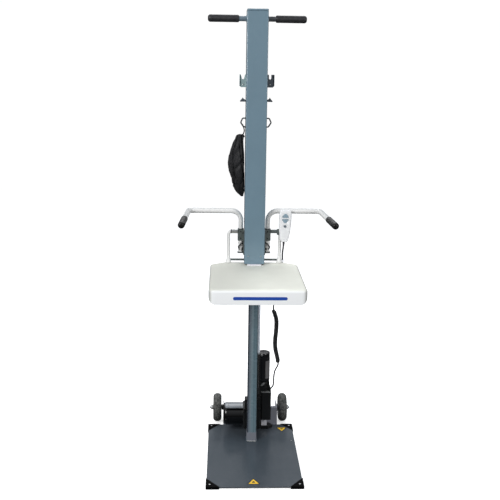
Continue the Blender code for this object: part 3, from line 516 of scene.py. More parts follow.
LOOKS = {
    "mast_paint": paint("look_mast", rgb(104, 128, 142), 0.36, Coat_Weight=0.5, Coat_Roughness=0.14),
    "column_paint": make_column_paint(),
    "frame_grey_paint": paint("look_frame_grey", rgb(98, 110, 118), 0.4, wear=rgb(140, 146, 150)),
    "socket_paint": paint("look_socket", rgb(112, 116, 124), 0.4, wear=rgb(150, 152, 156)),
    "bracket_paint": paint("look_bracket", rgb(86, 94, 93), 0.4, wear=rgb(112, 116, 116)),
    "panel_paint": paint("look_panel", rgb(132, 134, 143), 0.45, wear=rgb(140, 142, 150)),
    "slate_paint": paint("look_slate", rgb(74, 82, 90), 0.4, wear=rgb(112, 118, 124)),
    # painted light: the left fork hook lighter; the right one takes the darker slate as painted shade
    "fork_painted_light": paint("look_fork_painted_light", rgb(144, 166, 168), 0.4, wear=rgb(150, 156, 160)),
    "plate_paint": make_plate_paint(),
    "white_paint": make_white_paint(),
    "black_paint": paint("look_black_paint", rgb(14, 15, 16), 0.3, wear=rgb(42, 43, 44)),
    "motor_paint": make_motor_paint(),
    "white_plastic": make_seat_plastic(),
    "bar_paint": make_bar_paint(),
    "handset_plastic": moulded("look_handset", rgb(232, 233, 235), 0.36),
    "nylon": moulded("look_nylon", rgb(216, 216, 222), 0.5),
    "grey_plastic": moulded("look_hub", rgb(120, 122, 122), 0.45),
    "black_plastic": moulded("look_black_plastic", rgb(14, 15, 16), 0.4),
    "battery_plastic": moulded("look_battery", rgb(24, 26, 30), 0.2, Coat_Weight=0.4, Coat_Roughness=0.08),
    # painted highlight: the pale band on the battery can
    "battery_painted_highlight": moulded("look_battery_painted_highlight", rgb(116, 115, 116), 0.35),
    "button_plastic": moulded("look_button", rgb(134, 155, 168), 0.5),
    "dark_button": moulded("look_dark_button", rgb(98, 108, 116), 0.5),
    "pad_rubber": rubber("look_pad", rgb(6, 6, 7), 0.6, 0.01, Specular_IOR_Level=0.03),
    "grip_rubber": rubber("look_grip", rgb(26, 27, 31), 0.5, 0.06),
    "arm_grip_rubber": rubber("look_arm_grip", rgb(12, 12, 12), 0.4, 0.03, Specular_IOR_Level=0.25),
    "tyre_rubber": make_tyre_rubber(),
    "cord_jacket": rubber("look_cord", rgb(13, 13, 14), 0.45, 0.04),
    "bag_fabric": make_fabric(),
    "bright_steel": steel("look_steel", rgb(196, 198, 206), 0.28),
    "screw_steel": make_screw_steel(),
    "zinc": steel("look_zinc", rgb(190, 191, 190), 0.32, (1, 1, 1)),
    "black_steel": steel("look_black_steel", rgb(44, 45, 47), 0.4, (1, 1, 1)),
    "wire": paint("look_wire", rgb(72, 76, 80), 0.35),
    "bronze": steel("look_bronze", rgb(176, 132, 78), 0.35, (1, 1, 1)),
    "label_yellow": moulded("look_label_yellow", rgb(232, 186, 34), 0.45),
    "label_dark": moulded("look_label_dark", rgb(16, 15, 12), 0.5),
    "stripe_blue": moulded("look_stripe", rgb(28, 70, 160), 0.4),
}


# ---------------------------------------------------------------- the handset's cord

CORD_DIAMETER = 0.0066
COIL_RADIUS = 0.0072              # to the middle of the cord
COIL_TURNS = 40
CORD_TO_CLIP = [(0.1278, 0.0745, 0.9342), (0.1272, 0.0745, 0.92), (0.1258, 0.0768, 0.903),
    (0.1248, 0.084, 0.886), (0.1252, 0.0965, 0.871), (0.1262, 0.107, 0.86), (0.1265, 0.1085, 0.854)]
CORD_TO_COIL = [(0.1265, 0.1085, 0.832), (0.1258, 0.11, 0.805), (0.122, 0.114, 0.75), (0.113, 0.118, 0.698),
    (0.101, 0.1215, 0.655), (0.094, 0.127, 0.63), (0.0935, 0.13, 0.618)]
COIL_ROUTE = [(0.0945, 0.13, 0.609), (0.096, 0.13, 0.602), (0.102, 0.13, 0.585), (0.1079, 0.13, 0.5613),
    (0.1086, 0.13, 0.53), (0.1074, 0.13, 0.5044), (0.1048, 0.13, 0.474), (0.1044, 0.13, 0.4471),
    (0.1068, 0.13, 0.422), (0.1122, 0.13, 0.3991), (0.117, 0.13, 0.378), (0.1195, 0.13, 0.358)]
CORD_TO_DOCK = [(0.1203, 0.1304, 0.351), (0.117, 0.136, 0.337), (0.108, 0.144, 0.315), (0.1035, 0.149, 0.285),
    (0.103, 0.1515, 0.256), (0.1005, 0.152, 0.237), (0.0935, 0.152, 0.2265), (0.088, 0.152, 0.219),
    (0.0868, 0.152, 0.2087)]


def cord_path():
    """The straight lead, the curly part and the tail as one line."""
    whole = smooth_path(CORD_TO_CLIP + CORD_TO_COIL + COIL_ROUTE + CORD_TO_DOCK, 0.004)
    top = min(whole, key=lambda p: (p - Vector(COIL_ROUTE[0])).length)
    bottom = min(whole, key=lambda p: (p - Vector(COIL_ROUTE[-1])).length)
    first, last = whole.index(top), whole.index(bottom)
    axis = whole[first:last + 1]
    steps = COIL_TURNS * 14
    curl = []
    for step in range(steps + 1):
        share = step / steps
        spot = share * (len(axis) - 1)
        i = min(int(spot), len(axis) - 2)
        centre = axis[i].lerp(axis[i + 1], spot - i)
        reach = COIL_RADIUS * ease(share * COIL_TURNS) * ease((1 - share) * COIL_TURNS)
        angle = math.pi + 2 * math.pi * COIL_TURNS * share
        curl.append(centre + Vector((math.cos(angle), math.sin(angle), 0)) * reach)
    return whole[:first] + curl + whole[last + 1:]


def make_cord():
    path = cord_path()
    mesh = sweep("handset_cord", path, circle(CORD_DIAMETER / 2, 10))
    cord = piece("handset_cord", mesh, "cord_jacket", None, ("cord_upper_lead", "cord_lower_lead",
        "cord_coil", "cord_tail"), "cord_jacket", 60)
    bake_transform(cord)
    ribs = [(0.0034, 0), (0.0038, 0.0005)]
    for i in range(5):
        height, width = 0.0015 + 0.0028 * i, 0.004 + 0.00022 * i
        ribs += [(width, height), (width, height + 0.0014), (width - 0.0005, height + 0.0017),
            (width - 0.0005, height + 0.0025)]
    ribs += [(0.005, 0.0158), (0.005, 0.0168)]
    boot = turned("handset_boot", "cord_jacket", "carriage", ribs, path[0] - Vector((0.0003, 0, 0.016)),
        sides=24, slot="cord_jacket")
    dock_boot = turned("dock_boot", "cord_jacket", "base", [(r, -h) for r, h in ribs], path[-1] +
        Vector((0, 0, 0.016)), sides=24, slot="cord_jacket")


make_cord()


# ---------------------------------------------------------------- carried-over CAD nodes

def clean_group():
    """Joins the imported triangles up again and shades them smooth, so that a bevel can follow."""
    group = bpy.data.node_groups.new("join_and_smooth", "GeometryNodeTree")
    for way in ("INPUT", "OUTPUT"):
        group.interface.new_socket("Geometry", in_out=way, socket_type="NodeSocketGeometry")
    last = group.nodes.new("NodeGroupInput").outputs[0]
    for kind, settings in (("GeometryNodeMergeByDistance", {"Distance": 0.00001}),
                           ("GeometryNodeRemoveAttribute", {"Name": "custom_normal"}),
                           ("GeometryNodeSetShadeSmooth", {})):
        made = group.nodes.new(kind)
        for socket, value in settings.items():
            made.inputs[socket].default_value = value
        group.links.new(last, made.inputs["Geometry"])
        last = made.outputs["Geometry"]
    group.links.new(last, group.nodes.new("NodeGroupOutput").inputs[0])
    return group


CLEAN = clean_group()


def carry(node, look, bevel):
    """Keeps a CAD node's shape and gives it softened edges and a finished surface."""
    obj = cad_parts[node]
    obj.material_slots[0].link = "OBJECT"
    obj.material_slots[0].material = LOOKS[look]
    obj.modifiers.new("Join", "NODES").node_group = CLEAN
    if bevel:
        edge = obj.modifiers.new("Edges", "BEVEL")
        edge.width, edge.segments = bevel, 2
        edge.limit_method, edge.angle_limit = "ANGLE", math.radians(35)
        edge.miter_outer = "MITER_ARC"
    obj.modifiers.new("Shading", "WEIGHTED_NORMAL").keep_sharp = True


def screw_head(name, place, axis, radius, height, look="zinc", body="carriage", drive="hex", sides=24):
    """A screw head with a recess: hex for a socket screw, cross for a Phillips one."""
    deep = height * 0.45
    recess = [(radius * 0.55, height), (radius * 0.52, height - deep)]

    def shape(size, level, angle):
        if (size, level) not in recess:
            return size
        if drive == "hex":
            half = math.pi / 6
            return size * math.cos(half) / math.cos((angle + half) % (2 * half) - half)
        return size if abs((angle + math.pi / 4) % (math.pi / 2) - math.pi / 4) < 0.3 else size * 0.45

    profile = [(radius, -0.0002), (radius, height * 0.55), (radius * 0.93, height * 0.85),
        (radius * 0.78, height), *recess, (radius * 0.05, height - deep * 1.1)]
    turned(name, look, body, profile, place, axis, sides, shape=shape)


def bead(name, corners, radius, look, body):
    """A weld bead: a ripple of overlapping drops along a line."""
    corners = [Vector(corner) for corner in corners]
    if len(corners) > 2:
        path = smooth_path(corners, 0.0011)
    else:
        path = [corners[0].lerp(corners[1], i / 40) for i in range(41)]
    scales = [1 + 0.16 * math.sin(i * 2.1) + 0.12 * noise.noise(point * 400) for i, point in enumerate(path)]
    scales[0] = scales[-1] = 0.4
    drawn(name, look, body, path, circle(radius, 10), scales, crease=70)


for look, bevel, nodes in (
        ("plate_paint", 0.0008, "foot_plate"), ("panel_paint", 0.0008, "rear_panel"),
        ("pad_rubber", 0.0008, "corner_pad_front_left corner_pad_front_right"),
        ("pad_rubber", 0.0008, "corner_pad_rear_left corner_pad_rear_right"),
        ("column_paint", 0, "column"), ("socket_paint", 0.0004, "column_socket"),
        ("bright_steel", 0.0004, "column_top_bearing"), ("bright_steel", 0.0008, "axle"),
        ("zinc", 0.001, "axle_nut_left axle_nut_right"), ("black_paint", 0.0012, "gearbox_housing dock_foot"),
        ("black_plastic", 0.001, "battery_dock"), ("nylon", 0.0015, "dock_clevis"),
        ("nylon", 0.0006, "glide_pad cord_clip"), ("bronze", 0.0006, "worm_wheel drive_nut"),
        ("mast_paint", 0, "mast_tube mast_cap"), ("bar_paint", 0.0004, "push_bar"),
        # painted light and shade: the left fork hook lighter, the right one darker slate
        ("fork_painted_light", 0.0005, "fork_hook_left"), ("slate_paint", 0.0005, "fork_hook_right"),
        ("slate_paint", 0.0008, "cleat_left cleat_right"), ("slate_paint", 0.0006, "seat_frame"),
        ("bracket_paint", 0.0006, "seat_rear_bar"), ("bracket_paint", 0.0005, "handset_holder"),
        ("bracket_paint", 0.0008, "arm_bracket_left arm_bracket_right"), ("handset_plastic", 0, "handset_case"),
        ("button_plastic", 0.0006, "up_button down_button"), ("dark_button", 0.0006, "light_button")):
    for node in nodes.split():
        carry(node, look, bevel)


# ---------------------------------------------------------------- base

def make_plate_details():
    low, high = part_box("foot_plate")
    top, up = high.z, (0, 0, 1)
    for end, y in (("front", low.y + 0.017), ("rear", high.y - 0.017)):
        for side, sign in SIDES.items():
            screw_head(f"pad_screw_{end}_{side}", (sign * 0.184, y, 0.0125), up, 0.0042, 0.0012, "zinc",
                "base", "cross")
    screw_head("plate_screw_right", (0.182, 0.05, top), up, 0.002, 0.0006, "zinc", "base", "cross")
    for end, x, y, size, way in (("front", -0.0045, -0.315, 0.05, 1), ("rear", 0.1465, 0.169, 0.047, -1)):
        for part, scale, look, lift in (("rim", 1.12, "label_dark", 0.0002), ("field", 0.84, "label_yellow", 0.0004),
                                        ("mark", 0.32, "label_dark", 0.0006)):
            reach = size * scale * 0.5
            outline = outline_of([(x - reach, y - way * reach * 0.62), (x + reach, y - way * reach * 0.62),
                (x, y + way * reach * 1.12)], 0.002, 5)
            flat(f"label_{end}_{part}", look, "base", outline, 0.0002, Matrix.Identity(4), (0, 0, top + lift),
                0)
    low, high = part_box("column_socket")
    floor, x, front, back = top + 0.0006, high.x - 0.001, low.y - 0.0002, high.y + 0.0002
    bead("socket_weld_front", [(-x, front, floor), (x, front, floor)], 0.0022, "zinc", "base")
    bead("socket_weld_back", [(-x, back, floor), (x, back, floor)], 0.0018, "frame_grey_paint", "base")
    for side, sign in SIDES.items():
        edge = sign * (high.x + 0.0002)
        bead(f"socket_weld_{side}", [(edge, low.y + 0.002, floor), (edge, high.y - 0.002, floor)], 0.0018,
            "frame_grey_paint", "base")
    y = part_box("rear_panel")[0].y - 0.0002
    bead("panel_weld", [(-0.12, y, 0.0108), (-0.04, y, 0.011), (0.04, y, 0.0108), (0.12, y, 0.011)], 0.002,
        "panel_paint", "base")


def make_drive():
    low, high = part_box("drive_motor")
    radius = (high.z - low.z) / 2
    middle = (high + low) / 2
    length = high.x - low.x
    crown = [(radius - 0.016 + r, length - 0.016 + h) for r, h in arc((0, 0), 0.016, 0, 90, 12)]
    profile = [(radius - 0.0015, 0), (radius, 0.0012), *groove(radius, 0.0115, 0.0131, 0.0009, 0.0004),
        *groove(radius, length - 0.024, length - 0.0224, 0.0009, 0.0004), *crown, (0.03, length),
        (0.0285, length - 0.0012), (0.012, length - 0.0012), (0.011, length), (0, length)]
    turned("motor_can", "motor_paint", "base", profile, (high.x, middle.y, middle.z), (-1, 0, 0), 96,
        stands_for="drive_motor", slot="black_paint")
    for i, angle in enumerate((45, 135, 225, 315)):
        spot = (low.x + 0.0045, middle.y + 0.0385 * math.cos(math.radians(angle)), middle.z + 0.0385 *
            math.sin(math.radians(angle)))
        screw_head(f"motor_screw_{i + 1}", spot, (-1, 0, 0), 0.0035, 0.0022, "black_steel", "base")
    gear_low, gear_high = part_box("gearbox_housing")
    left, right = gear_low.x + 0.0065, gear_high.x - 0.0065
    for name, y, way in (("gearbox_screw", gear_low.y, -1), ("gearbox_back_screw", gear_high.y, 1)):
        for i, (x, z) in enumerate(((left, 0.052), (left, 0.133), (right, 0.052), (right, 0.133))):
            screw_head(f"{name}_{i + 1}", (x, y, z), (0, way, 0), 0.0036, 0.0024, "black_steel", "base")
    boxed("gearbox_cover", "black_paint", "base", (gear_low.x + 0.013, gear_high.y - 0.0002, 0.058),
        (gear_high.x - 0.013, gear_high.y + 0.0028, 0.128), 0.0012)
    flange = [(gear_low.y + 0.005, 0.046), (gear_high.y - 0.003, 0.046), (gear_high.y - 0.003, 0.139),
        (gear_low.y + 0.005, 0.139)]
    flat("motor_flange", "black_paint", "base", flange, 0.003, FACE_SIDE, (gear_low.x - 0.0002, 0, 0), 0.001)
    collar = [(0.0078, 0), (0.0132, 0), (0.0132, 0.006), (0.0118, 0.0072), (0.0118, 0.024), (0.0078, 0.024)]
    screw_low, screw_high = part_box("lift_screw")
    turned("turret_collar", "black_plastic", "base", collar, ((screw_low.x + screw_high.x) / 2,
        (screw_low.y + screw_high.y) / 2, gear_high.z), sides=40, closed=True)
    gland = [(0, 0), (0.0062, 0), (0.0062, 0.006), (0.005, 0.0065), (0.005, 0.011), (0.0036, 0.0125),
        (0, 0.0125)]
    turned("motor_gland", "black_plastic", "base", gland, (low.x + 0.05, middle.y + 0.051, middle.z),
        (0, 1, 0), 24)
    lead = smooth_path([(low.x + 0.05, middle.y + 0.06, middle.z), (-0.076, 0.233, 0.095),
        (-0.062, 0.231, 0.11), (-0.04, 0.217, 0.12), (-0.02, 0.204, 0.12), (-0.008, 0.196, 0.12)], 0.004)
    drawn("motor_lead", "cord_jacket", "base", lead, circle(0.003, 12))


def make_lift_screw():
    """The lifting screw, its trapezoid thread as a ripple round a fine grid."""
    low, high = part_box("lift_screw")
    centre = (low + high) / 2
    core, outer, pitch, depth = 0.005, 0.007, 0.008, 0.0011
    bottom, top, step = 0.118, 1.05, pitch / 8

    def thread(size, level, angle):
        if size < outer:
            return size
        wave = abs((2 * level / pitch - angle / math.pi) % 1.0 * 2 - 1)
        return size - depth * ease((wave - 0.3) / 0.25)

    levels = [bottom + i * step for i in range(int((top - bottom) / step) + 1)]
    profile = [(core, low.z), (core, bottom), *[(outer, level) for level in levels], (core, top),
        (core, high.z)]
    turned("threaded_screw", "screw_steel", "lift_screw", profile, (centre.x, centre.y, 0), sides=24,
        shape=thread, stands_for="lift_screw", slot="bright_steel", crease=50)


def make_battery():
    low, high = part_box("battery_case")
    middle = (low + high) / 2
    radius, height = (high.x - low.x) / 2, high.z - low.z
    profile = [(0, 0), (radius - 0.003, 0), (radius, 0.003), *groove(radius, 0.01, 0.012, 0.0006, 0.0005),
        *groove(radius, height - 0.012, height - 0.01, 0.0006, 0.0005), (radius, height - 0.0006),
        (radius - 0.0006, height), (0, height)]
    turned("battery_can", "battery_plastic", "base", profile, (middle.x, middle.y, low.z), sides=96,
        stands_for="battery_case", slot="black_gloss_plastic")
    cap_low, cap_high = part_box("battery_cap")
    rise = cap_high.z - cap_low.z
    crown = [(radius - 0.0075 + r, rise - 0.0075 + h) for r, h in arc((0, 0), 0.0075, 0, 90, 8)]
    profile = [(0, 0), (radius - 0.0006, 0), (radius - 0.0002, 0.0006), (radius - 0.0002, 0.01),
        (radius - 0.0022, 0.0106), (radius - 0.0022, 0.013), (radius - 0.0002, 0.0136), *crown, (0.012, rise),
        (0.011, rise - 0.0015), (0, rise - 0.0015)]

    def fluted(size, level, angle):
        grip = 0.0005 * math.cos(angle * 30) if 0.001 < level < 0.0095 else 0.0
        return size + grip - 0.0003
    turned("battery_crown", "battery_plastic", "base", profile, (middle.x, middle.y, cap_low.z), sides=180,
        shape=fluted, stands_for="battery_cap", slot="black_plastic")
    make_battery_painted_highlight(middle, radius, low.z)
    lock = (middle.x - 0.01, middle.y - 0.0265, cap_low.z + 0.016)
    screw_head("battery_lock", lock, (-0.34, -0.94, 0.05), 0.006, 0.003, "zinc", "base", "cross", 48)
    front, back, foot, top = middle.y - 0.004, middle.y + 0.01, cap_high.z - 0.012, cap_high.z + 0.018
    loop = rounded([(middle.x + 0.0262, y, z) for y, z in ((front, foot), (front, top), (back, top),
        (back, foot))], 0.006)
    drawn("battery_pull_tab", "nylon", "base", loop, [(-0.0004, -0.002), (0.0004, -0.002), (0.0004, 0.002),
        (-0.0004, 0.002)], up=(0, 1, 0))
    dock_low, dock_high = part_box("battery_dock")
    shelf = 0.208
    boxed("dock_rim", "grey_plastic", "base", (dock_low.x + 0.0117, dock_low.y - 0.0004, shelf - 0.0016),
        (dock_high.x + 0.0003, dock_high.y + 0.0003, shelf + 0.0006), 0.0005)
    ring = [(0.0225, 0.2335), (0.0262, 0.2345), (0.0285, 0.239), (0.0285, 0.248), (0.027, 0.252),
        (0.027, 0.2572), (0.0225, 0.2572)]
    turned("dock_collar", "black_plastic", "base", ring, (0.0565, 0.1735, 0), sides=64, closed=True)
    latch = [(0, 0), (0.017, 0.004), (0.024, 0.016), (0.024, 0.028), (0.018, 0.03), (0.01, 0.021), (0, 0.018)]
    flat("dock_latch", "black_plastic", "base", latch, 0.005, FACE_FRONT, (0.048, 0.1475, 0.21), 0.0012)
    lever = [(0, 0), (0.008, -0.002), (0.018, 0.01), (0.019, 0.015), (0.013, 0.015), (0.004, 0.008)]
    flat("dock_lever", "grey_plastic", "base", lever, 0.006, FACE_FRONT, (0.043, 0.144, 0.239), 0.0012)
    hood = [(0, 0), (0.021, 0), (0.0205, 0.008), (0.013, 0.03), (0.006, 0.034), (0, 0.034)]
    flat("dock_hood", "black_plastic", "base", hood, 0.03, FACE_FRONT, (0.07, 0.1735, 0.2086), 0.002)
    boxed("dock_bracket", "black_paint", "base", (0.0434, 0.152, 0.11), (0.0468, 0.195, 0.206), 0.0006)
    for i, z in enumerate((0.088, 0.19)):
        screw_head(f"dock_screw_{i + 1}", (0.0855, dock_low.y, z), (0, -1, 0), 0.0028, 0.0014,
            "black_plastic", "base", "cross")


def make_battery_painted_highlight(middle, radius, bottom):
    """A plain satin band that wraps the front right of the can: a painted highlight, pale grey where the glossy can
    would shine.
    """
    section = [(radius - 0.0003, 0.0145), (radius + 0.0002, 0.0148), (radius + 0.0002, 0.0992),
        (radius - 0.0003, 0.0995)]
    rings = [[Vector((middle.x + reach * math.cos(angle), middle.y + reach * math.sin(angle), bottom + level))
        for reach, level in section] for angle in map(math.radians, range(-74, -5, 4))]
    piece("battery_painted_highlight", loft("battery_painted_highlight", rings), "battery_painted_highlight", "base")


def make_wheels():
    inner, shoulder = 0.0498, 0.0195
    spacer = [(0.0064, 0), (0.0125, 0), (0.0135, 0.0008), (0.0135, 0.007), (0.0095, 0.008), (0.0064, 0.008)]
    washer = [(0.0063, 0), (0.012, 0), (0.012, 0.0007), (0.0063, 0.0007)]
    for side, sign in SIDES.items():
        low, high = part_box(f"tyre_{side}")
        centre = (low + high) / 2
        radius, half = (high.z - low.z) / 2, (high.x - low.x) / 2 + 0.0001
        wall = [(inner, half - 0.0065), (inner + 0.003, half - 0.0028), (inner + 0.0042, half - 0.001),
            (inner + 0.005, half - 0.0016)]
        wall += [(radius - shoulder + r, half - shoulder + h) for r, h in arc((0, 0), shoulder, 72, 0, 12)]
        tread = groove(radius, 0.001, -0.001, 0.0009, -0.0005)
        profile = wall + tread + [(r, -h) for r, h in reversed(wall)] + [(inner, 0)]

        def nubs(size, level, angle):
            if size < radius - 0.0035 or abs(level) > 0.012:
                return size
            return size - 0.0005 * max(0, math.cos(angle * 60)) ** 6

        turned(f"tyre_tread_{side}", "tyre_rubber", f"wheel_{side}", profile, centre, (1, 0, 0), 240, True,
            nubs, stands_for=f"tyre_{side}", slot="tyre_rubber", crease=50)
        make_hub(side, centre, sign)
        turned(f"axle_spacer_{side}", "black_plastic", "base", spacer, (sign * 0.1282, centre.y, centre.z),
            (sign, 0, 0), 32, True)
        turned(f"axle_washer_{side}", "zinc", "base", washer, (sign * 0.1771, centre.y, centre.z),
            (sign, 0, 0), 32, True)


def make_hub(side, centre, sign):
    """A moulded hub: a rim with a lip, a dished web with five ribs on each face, and a boss."""
    body = f"wheel_{side}"
    bore, boss, rim, outer = 0.0063, 0.014, 0.044, 0.0494
    upper = [(bore, 0.0198), (boss - 0.001, 0.02), (boss, 0.019), (boss + 0.0012, 0.006), (0.025, 0.0042),
        (0.034, 0.0042), (rim - 0.0012, 0.0065), (rim, 0.014), (rim + 0.001, 0.0148),
        (outer - 0.0008, 0.0148), (outer, 0.0138)]
    profile = upper + [(r, -h) for r, h in reversed(upper)]
    turned(f"wheel_hub_{side}", "grey_plastic", body, profile, centre, (1, 0, 0), 72, True,
        stands_for=f"hub_{side}", slot="grey_plastic", crease=40)
    race = [(0.0064, 0.0196), (0.0105, 0.0198), (0.0115, 0.0204), (0.0105, 0.0207), (0.0064, 0.0207)]
    for face, way in (("outer", sign), ("inner", -sign)):
        put = Matrix.Translation(centre) @ turn_to((way, 0, 0))
        for i in range(5):
            name = f"hub_rib_{face}_{side}_{i + 1}"
            rib = block(name, (0.0145, -0.0022, 0), (0.0437, 0.0022, 0.0108), 0.0007)
            rib.transform(put @ Matrix.Rotation(math.radians(72 * i + 18), 4, "Z"))
            piece(name, rib, "grey_plastic", body)
        turned(f"hub_bearing_{face}_{side}", "zinc", body, race, centre, (way, 0, 0), 32, True)


make_plate_details()
make_drive()
make_lift_screw()
make_battery()
make_wheels()


# ---------------------------------------------------------------- mast and what it carries

def grip_mesh(name, tip, direction, length, radius, bore):
    """A rubber sleeve with a rounded end, a ring near its mouth and a shallow eye in its tip."""
    crown = 0.01
    end = [(radius - crown + r, h - crown) for r, h in arc((0, 0), crown, 90, 0, 12)]
    ring, mouth = 0.02 - length, -length
    profile = [(0, -0.0012), (0.002, -0.0012), (0.0026, 0), *end, *groove(radius, -0.018, -0.02, 0.0005,
        -0.0004), (radius - 0.0001, ring + 0.0012), (radius - 0.0008, ring + 0.0008), (radius - 0.0008, ring),
        (radius - 0.0001, ring - 0.0004), (radius, mouth + 0.01), (radius, mouth + 0.0036),
        (radius - 0.0016, mouth + 0.0004), (radius - 0.0024, mouth), (bore, mouth), (bore, -0.004),
        (0, -0.004)]
    return lathe(name, profile, tip, direction, 64)


def make_push_bar():
    collar = [(0.0106, 0), (0.015, 0), (0.015, 0.0012), (0.0138, 0.0022), (0.0106, 0.0026)]
    for side, sign in SIDES.items():
        low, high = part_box(f"push_bar_grip_{side}")
        name, y, z = f"push_grip_{side}", (low.y + high.y) / 2, (low.z + high.z) / 2
        tip = (sign * max(abs(low.x), abs(high.x)), y, z)
        mesh = grip_mesh(name, tip, (sign, 0, 0), high.x - low.x, (high.z - low.z) / 2, 0.0108)
        piece(name, mesh, "grip_rubber", "carriage", f"push_bar_grip_{side}", "grip_rubber")
        turned(f"bar_collar_{side}", "mast_paint", "carriage", collar, (sign * 0.0436, y, z), (sign, 0, 0),
            40, True)


def make_mast_details():
    low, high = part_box("mast_tube")
    screw_head("cap_screw", (0, high.y, high.z - 0.01), (0, 1, 0), 0.0026, 0.001, drive="cross")
    boxed("mast_apron", "nylon", "carriage", (-0.031, low.y - 0.011, 0.8374), (0.03, low.y + 0.002, 0.8425),
        0.0012)
    for side, sign in SIDES.items():
        screw_head(f"pad_bolt_{side}", (sign * 0.027, low.y, 0.877), (0, -1, 0), 0.0026, 0.001, drive="cross")
        for i, z in enumerate((1.014, 1.026)):
            screw_head(f"nut_bolt_{side}_{i + 1}", (sign * high.x, 0.123, z), (sign, 0, 0), 0.003, 0.0014)
        # painted light and shade: the left fork lighter, the right one darker slate
        look = "fork_painted_light" if side == "left" else "slate_paint"
        foot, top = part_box(f"fork_hook_{side}")
        near, far = sorted((sign * max(abs(foot.x), abs(top.x)), sign * (max(abs(foot.x), abs(top.x)) -
            0.0015)))
        boxed(f"fork_flange_{side}", look, "carriage", (near, foot.y - 0.006, foot.z + 0.006),
            (far, foot.y + 0.001, top.z), 0.0005)
        x, y = sign * 0.044, foot.y - 0.0003
        bead(f"fork_weld_{side}", [(x, y, foot.z + 0.002), (x, y, top.z - 0.004)], 0.0016, look, "carriage")
        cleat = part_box(f"cleat_{side}")[0].y
        for i, (x, y, z, size) in enumerate(((0.0555, foot.y, 1.598, 0.003), (0.0495, cleat, 1.53, 0.0018))):
            screw_head(f"hook_screw_{side}_{i + 1}", (sign * x, y, z), (0, -1, 0), size, 0.0014)


def make_wire_hooks():
    start, y = 0.0438, 0.0885
    weld = [(0.0031, 0), (0.0056, 0), (0.0054, 0.001), (0.004, 0.0022), (0.0031, 0.0024)]
    for side, sign in SIDES.items():
        bends = ((start, 1.46), (0.056, 1.46), (0.064, 1.4418), (0.052, 1.424), (start, 1.424))
        drawn(f"bent_hook_{side}", "wire", "carriage", rounded([(sign * x, y, z) for x, z in bends], 0.007,
            12), circle(0.003, 24), stands_for=f"wire_hook_{side}", slot="dark_steel", crease=60)
        for end, z in (("top", 1.46), ("foot", 1.424)):
            turned(f"hook_weld_{side}_{end}", "wire", "carriage", weld, (sign * 0.0437, y, z), (sign, 0, 0),
                20, True)


def make_arms():
    x, y, level = 0.0585, 0.1035, 1.0645      # the upright's axis, and the height of the rail's first run
    seal = [(0.0101, 0), (0.0128, 0), (0.0132, 0.0006), (0.0128, 0.0022), (0.0101, 0.0024)]
    knob = [(0, 0), (0.0038, 0), (0.0046, 0.001), (0.0046, 0.007), (0.0036, 0.0084), (0, 0.0084)]
    stem = [(0, 0), (0.003, 0), (0.003, 0.011), (0, 0.011)]
    for side, sign in SIDES.items():
        body = f"arm_{side}"
        foot, top = Vector((sign * x, y, 0.883)), Vector((sign * x, y, level))
        corner, tip = Vector((sign * 0.284, y, level)), Vector((sign * 0.294, -0.3085, 1.0745))
        forward = (tip - corner).normalized()
        path = [foot, foot + Vector((0, 0, 0.001)), *rounded([foot, top, corner], 0.042, 16)[1:-1],
            *rounded([top, corner, tip - forward * 0.0045], 0.022, 12)[1:]]
        scales = [0.9] + [1 + 0.12 * ease((abs(point.x) - x) / 0.03) for point in path[1:]]
        drawn(f"arm_rail_{side}", "white_paint", body, path, circle(0.01, 40), scales,
            stands_for=f"arm_tube_{side}", slot="white_paint")
        name = f"arm_handle_{side}"
        piece(name, grip_mesh(name, tip, forward, 0.168, 0.0134, 0.0103), "arm_grip_rubber", body,
            f"arm_grip_{side}", "grip_rubber")
        for i, (z, size) in enumerate(((0.904, 0.0122), (0.918, 0.0112))):
            ring = [(0.01, 0), (size, 0.0004), (size + 0.0004, 0.0016), (size, 0.0052), (0.01, 0.0056)]
            turned(f"arm_ring_{side}_{i + 1}", "white_paint", body, ring, (foot.x, y, z), sides=40,
                closed=True)
        turned(f"sleeve_seal_{side}", "black_plastic", "carriage", seal, (foot.x, y, 0.9846), sides=40,
            closed=True)
        turned(f"index_knob_{side}", "black_plastic", "carriage", knob, (sign * 0.052, 0.0835, 0.9),
            (0, -1, 0), 32)
        turned(f"index_stem_{side}", "zinc", "carriage", stem, (sign * 0.052, 0.094, 0.9), (0, -1, 0), 20)
        near, far = sorted((sign * 0.0438, sign * 0.0482))
        # painted shade: a black plate between the mast and the upright, where the shadow falls
        boxed(f"bracket_shadow_plate_{side}", "black_paint", "carriage", (near, 0.0905, 0.8832),
            (far, 0.116, 0.934))
        hook = rounded([(sign * 0.0485, 0.09, 0.923), (sign * 0.056, 0.0885, 0.923),
            (sign * 0.069, 0.0885, 0.908), (sign * 0.064, 0.0885, 0.896)], 0.005)
        drawn(f"bracket_lever_{side}", "black_steel", "carriage", hook, circle(0.0022, 16))
        for i, z in enumerate((0.89, 0.972, 0.931)):
            screw_head(f"bracket_bolt_{side}_{i + 1}", (sign * 0.0478, 0.07, z), (sign, 0, 0), 0.0045, 0.0034,
                "black_steel", "carriage")
        for i, z in enumerate((0.945, 0.974)):
            screw_head(f"sleeve_screw_{side}_{i + 1}", (sign * 0.058, 0.0905, z), (0, -1, 0), 0.0026, 0.0016,
                "black_steel", "carriage")


